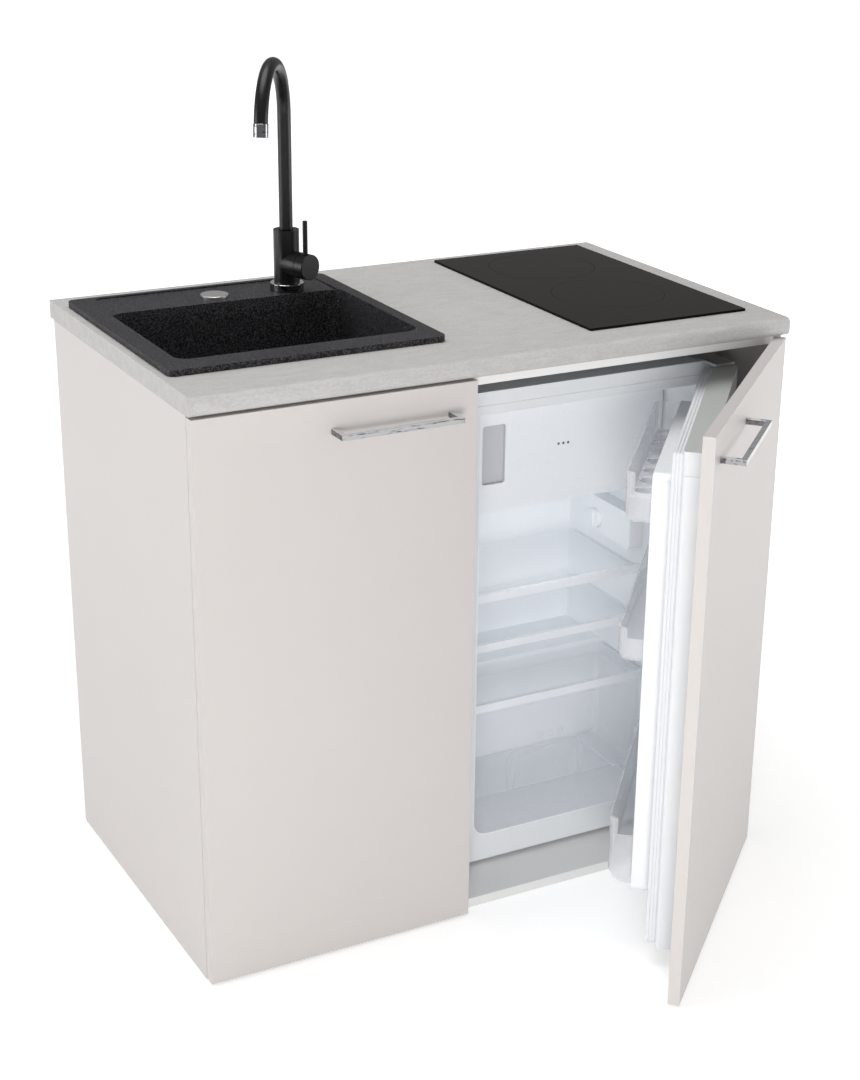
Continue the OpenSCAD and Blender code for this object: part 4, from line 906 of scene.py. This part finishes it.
class KITCHENETTE_OT_tap(bpy.types.Operator):
    """Makes the tap: collar, body and side barrel, riser and bend, outlet, lever cap and pin"""

    bl_idname = "kitchenette.tap"
    bl_label = "Tap"

    foot = Vector((*TAP_AT, LEDGE_TOP))
    collar_height, body_height, riser_height = 0.0125, 0.085, 0.180
    lever_height = 0.044
    bend_radius = 0.086
    barrel_radius = 0.0205

    def execute(self, context):
        self.collar()
        self.body()
        self.spout()
        self.lever()
        self.knob()
        return {"FINISHED"}

    def barrel(self):
        """From a frame along the lever's axis to the unit's frame."""
        heading = Matrix.Rotation(math.radians(LEVER_HEADING), 4, "Z")
        level = Matrix.Rotation(math.radians(90), 4, "Y")
        return Matrix.Translation(self.foot + Vector((0, 0, self.lever_height))) @ (heading @ level)

    def collar(self):
        z = self.foot.z
        thing = rod(0.027, z, z + self.collar_height, self.foot.xy, 96)
        soften(thing, 0.0012, 4)
        choose(thing, "faces", looks_up)
        raise_inset(0.0045, 0.00025)
        done()
        smooth(thing)
        dress(thing, "tap_collar", "cabinet", "chrome", "chrome", "faucet_ring")

    def body(self):
        z = self.foot.z + self.collar_height
        thing = rod(0.02075, z + 0.0003, z + self.body_height, self.foot.xy, 96)
        arm = rod(self.barrel_radius, 0.0, 0.035, (0, 0), 96)
        apply_place(arm, self.barrel())
        cut(thing, arm, "UNION")
        cut(thing, rod(0.0112, z + 0.07, z + 0.09, self.foot.xy))
        soften(thing, 0.0009, 4, 40)
        shank = rod(0.0165, 0.8795, z + 0.001, self.foot.xy, 64)
        cut(thing, shank, "UNION")
        smooth(thing, 35)
        dress(thing, "tap_body", "cabinet", "matt_black_metal", "matt_black_metal", "faucet_body")

    def spout(self):
        """The riser, bent over at its top, with a slim ring at its foot."""
        z = self.foot.z
        start = z + self.body_height
        heading = math.radians(SPOUT_HEADING)
        ahead = Vector((math.cos(heading), math.sin(heading), 0))
        top = z + self.collar_height + self.body_height + self.riser_height
        thing = wire_end(0.01075, (*self.foot.xy, start), 48)
        draw_out((0, 0, top - start))
        centre = self.foot + ahead * self.bend_radius
        centre.z = top
        swing(centre, Vector((0, 0, 1)).cross(ahead), 172, 56)
        close_up(thing)
        ring = rod(0.01225, z + 0.0975, z + 0.0990, self.foot.xy, 64)
        soften(ring, 0.0005, 2)
        cut(thing, ring, "UNION")
        smooth(thing, 40)
        black = "matt_black_metal"
        dress(thing, "tap_spout", "spout", black, black, "faucet_spout")
        self.outlet(centre)

    def outlet(self, centre):
        """The chrome sleeve on the spout's mouth, with the jet former sunk in it."""
        thing = rod(0.0115, -0.020, 0.0, (0, 0), 64)
        choose(thing, "faces", lambda f: f.normal.z < -0.99)
        bpy.ops.mesh.inset(thickness=0.0018)
        draw_out((0, 0, 0.003))
        raise_inset(0.0035, -0.0012)
        done()
        soften(thing, 0.0005, 3)
        smooth(thing)
        heading = Matrix.Rotation(math.radians(SPOUT_HEADING), 4, "Z")
        leaning = Matrix.Rotation(math.radians(-8), 4, "Y")
        reach = Matrix.Translation((self.bend_radius, 0, 0))
        apply_place(thing, Matrix.Translation(centre) @ (heading @ leaning) @ reach)
        dress(thing, "tap_outlet", "spout", "chrome", "chrome", "aerator")

    def lever(self):
        black = "matt_black_metal"
        cap = rod(self.barrel_radius, 0.0353, 0.0536, (0, 0), 96)
        choose(cap, "faces", looks_up)
        raise_inset(0.0012, 0.0003)
        done()
        soften(cap, 0.0008, 3)
        smooth(cap)
        apply_place(cap, self.barrel())
        dress(cap, "lever_cap.dressed", "lever", black, black, "lever_cap")
        at = self.barrel() @ Vector((0, 0, 0.0427))
        pin = rod(0.004, at.z + 0.017, at.z + 0.073, at.xy, 40)
        round_edges(pin, 0.0014, 4, lambda e: min(v.co.z for v in e.verts) > at.z + 0.0729)
        smooth(pin, 40)
        dress(pin, "lever_pin.dressed", "lever", black, black, "lever_pin")

    def knob(self):
        """The flat knob of the waste on the ledge, slightly crowned."""
        z = self.foot.z
        thing = rod(0.0225, z + 0.0003, z + 0.0036, KNOB_AT, 96)
        round_edges(thing, 0.0012, 4, lambda e: min(v.co.z for v in e.verts) > z + 0.0035)
        choose(thing, "faces", looks_up)
        for step in range(4):
            raise_inset(0.0042, 0.00016 - 0.00003 * step)
        done()
        stem = rod(0.004, 0.906, z + 0.001, KNOB_AT, 32)
        cut(thing, stem, "UNION")
        smooth(thing, 20)
        dress(thing, "waste_knob.dressed", "knob", "knob_steel", "chrome", "waste_knob")


class KITCHENETTE_OT_bins(bpy.types.Operator):
    """Makes the clear bins in the fridge door, and the egg tray in the upper one"""

    bl_idname = "kitchenette.bins"
    bl_label = "Door bins"

    # Foot and top of the wall that closes each bin's end
    ends = {
        "bin_upper": (0.752, 0.782),
        "bin_middle": (0.524, 0.540),
        "bin_lower": (0.1954, 0.2234),
    }

    def execute(self, context):
        for node, (end_z, rim_z) in self.ends.items():
            thing = merged_copy(node)
            apply_place(thing, on_door().inverted())
            end = block((-0.0525, 0.0613, end_z - 0.001), (-0.0500, 0.0864, rim_z))
            cut(thing, end, "UNION")
            soften(thing, 0.0007, 2, 40)
            smooth(thing, 40)
            apply_place(thing, on_door())
            dress(thing, node + ".dressed", "fridge_door", "bin_plastic", "clear_plastic", node)
        self.egg_tray()
        return {"FINISHED"}

    def egg_tray(self):
        """A plate with two rows of round holes, each with a raised rim."""
        plate = block((-0.3970, 0.0265, 0.7375), (-0.0630, 0.0935, 0.7395))
        round_edges(plate, 0.006, 4, upright)
        start, pitch, count, rows = -0.3700, 0.0467, 7, (0.0435, 0.0765)
        rims = []
        for y in rows:
            hole = rod(0.0150, 0.73, 0.75, (start, y), 40)
            repeat(hole, count, (pitch, 0, 0))
            cut(plate, hole)
            rim = hoop((start, y, 0.7402), 0.0155, 0.0011, 40, 8)
            repeat(rim, count, (pitch, 0, 0))
            rims.append(rim)
        tray = join([plate, *rims])
        smooth(tray, 40)
        apply_place(tray, on_door())
        dress(tray, "egg_tray", "fridge_door", "bin_plastic", "clear_plastic")


class KITCHENETTE_OT_drawer(bpy.types.Operator):
    """Moulds the clear vegetable drawer with its arched grip"""

    bl_idname = "kitchenette.drawer"
    bl_label = "Vegetable drawer"

    def execute(self, context):
        low, high = Vector((0.022, -0.092, 0.076)), Vector((0.398, 0.045, 0.236))
        taper, wall = (0.985, 0.965, 1), 0.0024
        box = block(low, high)
        choose(box, "faces", lambda f: f.normal.z < -0.9)
        bpy.ops.transform.resize(value=taper, center_override=(0.21, 0.0, low.z))
        done()
        round_edges(box, 0.012, 5, upright)
        round_edges(box, 0.007, 4, lambda e: max(v.co.z for v in e.verts) < low.z + 0.0005)
        choose(box, "faces", lambda f: f.normal.z > 0.9)
        bpy.ops.mesh.inset(thickness=wall)
        draw_out((0, 0, -(high.z - low.z) + wall))
        bpy.ops.transform.resize(value=taper, center_override=(0.21, 0.0, low.z))
        done()
        soften(box, 0.0006, 2, 50)
        marks = [self.arch(0.078, 0.054, 0.016), self.arch(0.066, 0.046, 0.013)]
        upended = (math.radians(90), 0, 0)
        for step in (-1, 0, 1):
            at = (0.215 + 0.020 * step, -0.0917, 0.1735)
            marks.append(hoop(at, 0.0055, 0.0008, 24, 6, upended))
        drawer = join([box, *marks])
        smooth(drawer, 40)
        dress(drawer, "drawer", "crisper", "clear_plastic", "clear_plastic", "crisper_drawer")
        return {"FINISHED"}

    def arch(self, half, leg, corner):
        """A raised round line on the drawer's front: two legs, two corners and a bowed top."""
        middle_x, y, foot = 0.210, -0.0912, 0.0835
        span, rise = half - corner, 0.006
        bow = (span * span + rise * rise) / (2 * rise)
        lean = math.degrees(math.asin(span / bow))
        wire = wire_end(0.0018, (middle_x - half, y, foot))
        draw_out((0, 0, leg))
        place = Vector((middle_x - half, y, foot + leg))
        heading = 0.0
        bend = (corner, 90 - lean, 8)
        for radius, degrees, steps in (bend, (bow, 2 * lean, 16), bend):
            inward = Vector((math.cos(math.radians(heading)), 0, -math.sin(math.radians(heading))))
            centre = place + inward * radius
            swing(centre, (0, 1, 0), degrees, steps)
            place = centre + Matrix.Rotation(math.radians(degrees), 3, "Y") @ (place - centre)
            heading += degrees
        draw_out((0, 0, -leg))
        close_up(wire)
        return wire


class KITCHENETTE_OT_ledges(bpy.types.Operator):
    """Moulds the ledges on the fridge's walls that carry the shelves"""

    bl_idname = "kitchenette.ledges"
    bl_label = "Shelf ledges"

    # Top, near end and far end of each pair, then where each side's ledge starts and ends
    pairs = ((0.4312, -0.052, 0.150), (0.3452, -0.060, 0.145), (0.2512, -0.090, 0.044))
    sides = ((0.0132, 0.0185), (0.4078, 0.4025))
    thick = 0.006

    def execute(self, context):
        parts = []
        for top, near, far in self.pairs:
            for wall, inner in self.sides:
                low = (min(wall, inner), near, top - self.thick)
                ledge = block(low, (max(wall, inner), far, top))
                for radius, steps, axis in ((0.0022, 4, 1), (0.0018, 3, 2)):
                    choice = self.inner_edge(axis, inner)
                    round_edges(ledge, radius, steps, choice)
                parts.append(ledge)
        ledges = join(parts)
        smooth(ledges)
        dress(ledges, "shelf_ledges", "cabinet", "white_plastic", "white_plastic")
        return {"FINISHED"}

    def inner_edge(self, axis, inner):
        """A test for the edges along an axis on the ledge's free side."""
        return lambda e: runs_along(e, axis) and abs(middle(e).x - inner) < 0.0001


class KITCHENETTE_OT_gasket(bpy.types.Operator):
    """Makes the door's gasket, with the grooves of its folds"""

    bl_idname = "kitchenette.gasket"
    bl_label = "Gasket"

    grooves = ((0.0152, 0.0166), (0.0196, 0.0208), (0.0246, 0.0256))

    def execute(self, context):
        thing = merged_copy("door_gasket")
        apply_place(thing, on_door().inverted())
        for edge in (y for groove in self.grooves for y in groove):
            choose(thing, "faces", lambda f: True)
            bpy.ops.mesh.bisect(plane_co=(0, edge, 0), plane_no=(0, 1, 0))
            done()
        for near, far in self.grooves:
            choose(thing, "faces", lambda f: abs(f.normal.y) < 0.1 and near < middle(f).y < far)
            bpy.ops.mesh.inset(thickness=0.0001, depth=-0.0018)
            done()
        soften(thing, 0.0006, 2, 40)
        smooth(thing, 40)
        apply_place(thing, on_door())
        dress(thing, "gasket", "fridge_door", "gasket_rubber", "gasket_rubber", "door_gasket")
        return {"FINISHED"}


class KITCHENETTE_OT_stage(bpy.types.Operator):
    """Sets up the floor, the lamps and the camera"""

    bl_idname = "kitchenette.stage"
    bl_label = "Stage"

    # The photograph's size, and where the camera's axis meets it, in pixels
    picture = (860, 1080)
    axis_at = (461.1, 584)

    def execute(self, context):
        s = context.scene.kitchenette_stage
        scene = context.scene
        scene.view_settings.view_transform = "Standard"
        scene.cycles.transparent_max_bounces = 32
        scene.cycles.diffuse_bounces = 8
        self.camera(scene, s)
        self.floor()
        self.lamps()
        self.room(scene, s.world)
        return {"FINISHED"}

    def camera(self, scene, s):
        deselect()
        bpy.ops.object.camera_add()
        cam = bpy.context.object
        cam.name = "camera"
        ahead = Vector((math.sin(s.yaw), math.cos(s.yaw), 0))
        side = Vector((math.cos(s.yaw), -math.sin(s.yaw), 0))
        up = Vector((0, 0, 1))
        look = ahead * math.cos(s.pitch) - up * math.sin(s.pitch)
        top = up * math.cos(s.pitch) + ahead * math.sin(s.pitch)
        right = side * math.cos(s.roll) + top * math.sin(s.roll)
        above = top * math.cos(s.roll) - side * math.sin(s.roll)
        aim = Matrix((right, above, -look)).transposed().to_4x4()
        cam.matrix_world = Matrix.Translation(s.eye) @ aim
        wide, high = self.picture
        cam.data.sensor_width = 36
        cam.data.lens = s.lens
        cam.data.shift_x = (wide / 2 - self.axis_at[0]) / high
        cam.data.shift_y = (self.axis_at[1] - high / 2) / high
        cam.data.clip_start = 0.05
        cam.data.clip_end = 60
        scene.camera = cam

    def floor(self):
        """A pale floor that glows for the camera, more so far out, so that it fades to white."""
        deselect()
        bpy.ops.mesh.primitive_circle_add(
            vertices=64, radius=9, fill_type="NGON", location=(0, 0, -0.0005)
        )
        floor = bpy.context.object
        floor.name = "floor"
        f = Finish("floor", (0.86, 0.86, 0.86), 0.9, specular_ior_level=0.1)
        path = f.node("ShaderNodeLightPath").outputs
        seen = Term(f, path["Is Camera Ray"]).largest(Term(f, path["Is Glossy Ray"]))
        away = f.node("ShaderNodeVectorMath", {"operation": "LENGTH"}, {0: f.place()})
        fade = f.ramp(Term(f, away.outputs["Value"]), 0.9, 3.2)
        fade_node = fade.socket.node
        fade_node.inputs["To Min"].default_value = 0.42
        fade_node.inputs["To Max"].default_value = 1.0
        glow = f.node("ShaderNodeEmission", None, {"Color": WHITE, "Strength": seen * fade})
        both = {0: f.shader.outputs[0], 1: glow.outputs[0]}
        output = f.tree.nodes["Material Output"].inputs["Surface"]
        f.tree.links.new(output, f.node("ShaderNodeAddShader", None, both).outputs[0])
        floor.data.materials.append(f.material)

    def lamps(self):
        self.lamp("front", (-1.4, -2.9, 0.75), (0.15, 0.0, 0.40), 1.1, 49)
        self.lamp("left", (-3.2, 1.1, 1.2), (-0.2, 0.0, 0.5), 1.8, 34)
        self.lamp("top", (-0.3, 0.2, 3.3), (0.0, 0.0, 0.9), 2.2, 46)
        self.lamp("right", (3.1, -1.4, 0.9), (0.4, -0.4, 0.4), 1.5, 30)
        self.lamp("fridge", (0.21, -0.02, 0.57), (0.21, -0.02, 0.2), 0.24, 0.14)

    def lamp(self, name, at, towards, size, watts):
        deselect()
        bpy.ops.object.light_add(type="AREA", location=at)
        lamp = bpy.context.object
        lamp.name = name
        lamp.data.shape = "DISK"
        lamp.data.size = size
        lamp.data.energy = watts
        lamp.visible_camera = False
        lamp.visible_glossy = name != "front"
        lamp.rotation_mode = "QUATERNION"
        lamp.rotation_quaternion = (Vector(towards) - Vector(at)).to_track_quat("-Z", "Y")

    def room(self, scene, strength):
        """Even light from all round, seen by the camera as plain white."""
        scene.world = bpy.data.worlds.new("room")
        scene.world.use_nodes = True
        nodes, links = scene.world.node_tree.nodes, scene.world.node_tree.links
        back = nodes["Background"]
        back.inputs["Color"].default_value = WHITE
        path = nodes.new("ShaderNodeLightPath")
        seen = nodes.new("ShaderNodeMath")
        seen.operation = "MAXIMUM"
        links.new(seen.inputs[0], path.outputs["Is Camera Ray"])
        links.new(seen.inputs[1], path.outputs["Is Transmission Ray"])
        mix = nodes.new("ShaderNodeMix")
        mix.inputs[2].default_value = strength
        mix.inputs[3].default_value = 1.0
        links.new(mix.inputs[0], seen.outputs[0])
        links.new(back.inputs["Strength"], mix.outputs[0])


class KITCHENETTE_PT_sidebar(bpy.types.Panel):
    """Lists the steps that build the unit"""

    bl_label = "Kitchenette"
    bl_idname = "KITCHENETTE_PT_sidebar"
    bl_space_type = "VIEW_3D"
    bl_region_type = "UI"
    bl_category = "Kitchenette"

    def draw(self, context):
        column = self.layout.column(align=True)
        for step in STEPS:
            column.operator(step.bl_idname)
        column.separator()
        for group in (context.scene.kitchenette_look, context.scene.kitchenette_stage):
            for name in group.bl_rna.properties.keys():
                if name not in ("rna_type", "name"):
                    column.prop(group, name)


STEPS = (
    KITCHENETTE_OT_finishes,
    KITCHENETTE_OT_boards,
    KITCHENETTE_OT_sink,
    KITCHENETTE_OT_tap,
    KITCHENETTE_OT_bins,
    KITCHENETTE_OT_drawer,
    KITCHENETTE_OT_ledges,
    KITCHENETTE_OT_gasket,
    KITCHENETTE_OT_stage,
)
CLASSES = (KitchenetteLook, KitchenetteStage, *STEPS, KITCHENETTE_PT_sidebar)


def register():
    for item in CLASSES:
        bpy.utils.register_class(item)
    bpy.types.Scene.kitchenette_look = bpy.props.PointerProperty(type=KitchenetteLook)
    bpy.types.Scene.kitchenette_stage = bpy.props.PointerProperty(type=KitchenetteStage)


def unregister():
    del bpy.types.Scene.kitchenette_stage
    del bpy.types.Scene.kitchenette_look
    for item in reversed(CLASSES):
        bpy.utils.unregister_class(item)


def main():
    register()
    for step in STEPS:
        area, name = step.bl_idname.split(".")
        getattr(getattr(bpy.ops, area), name)()


if __name__ == "__main__":
    main()
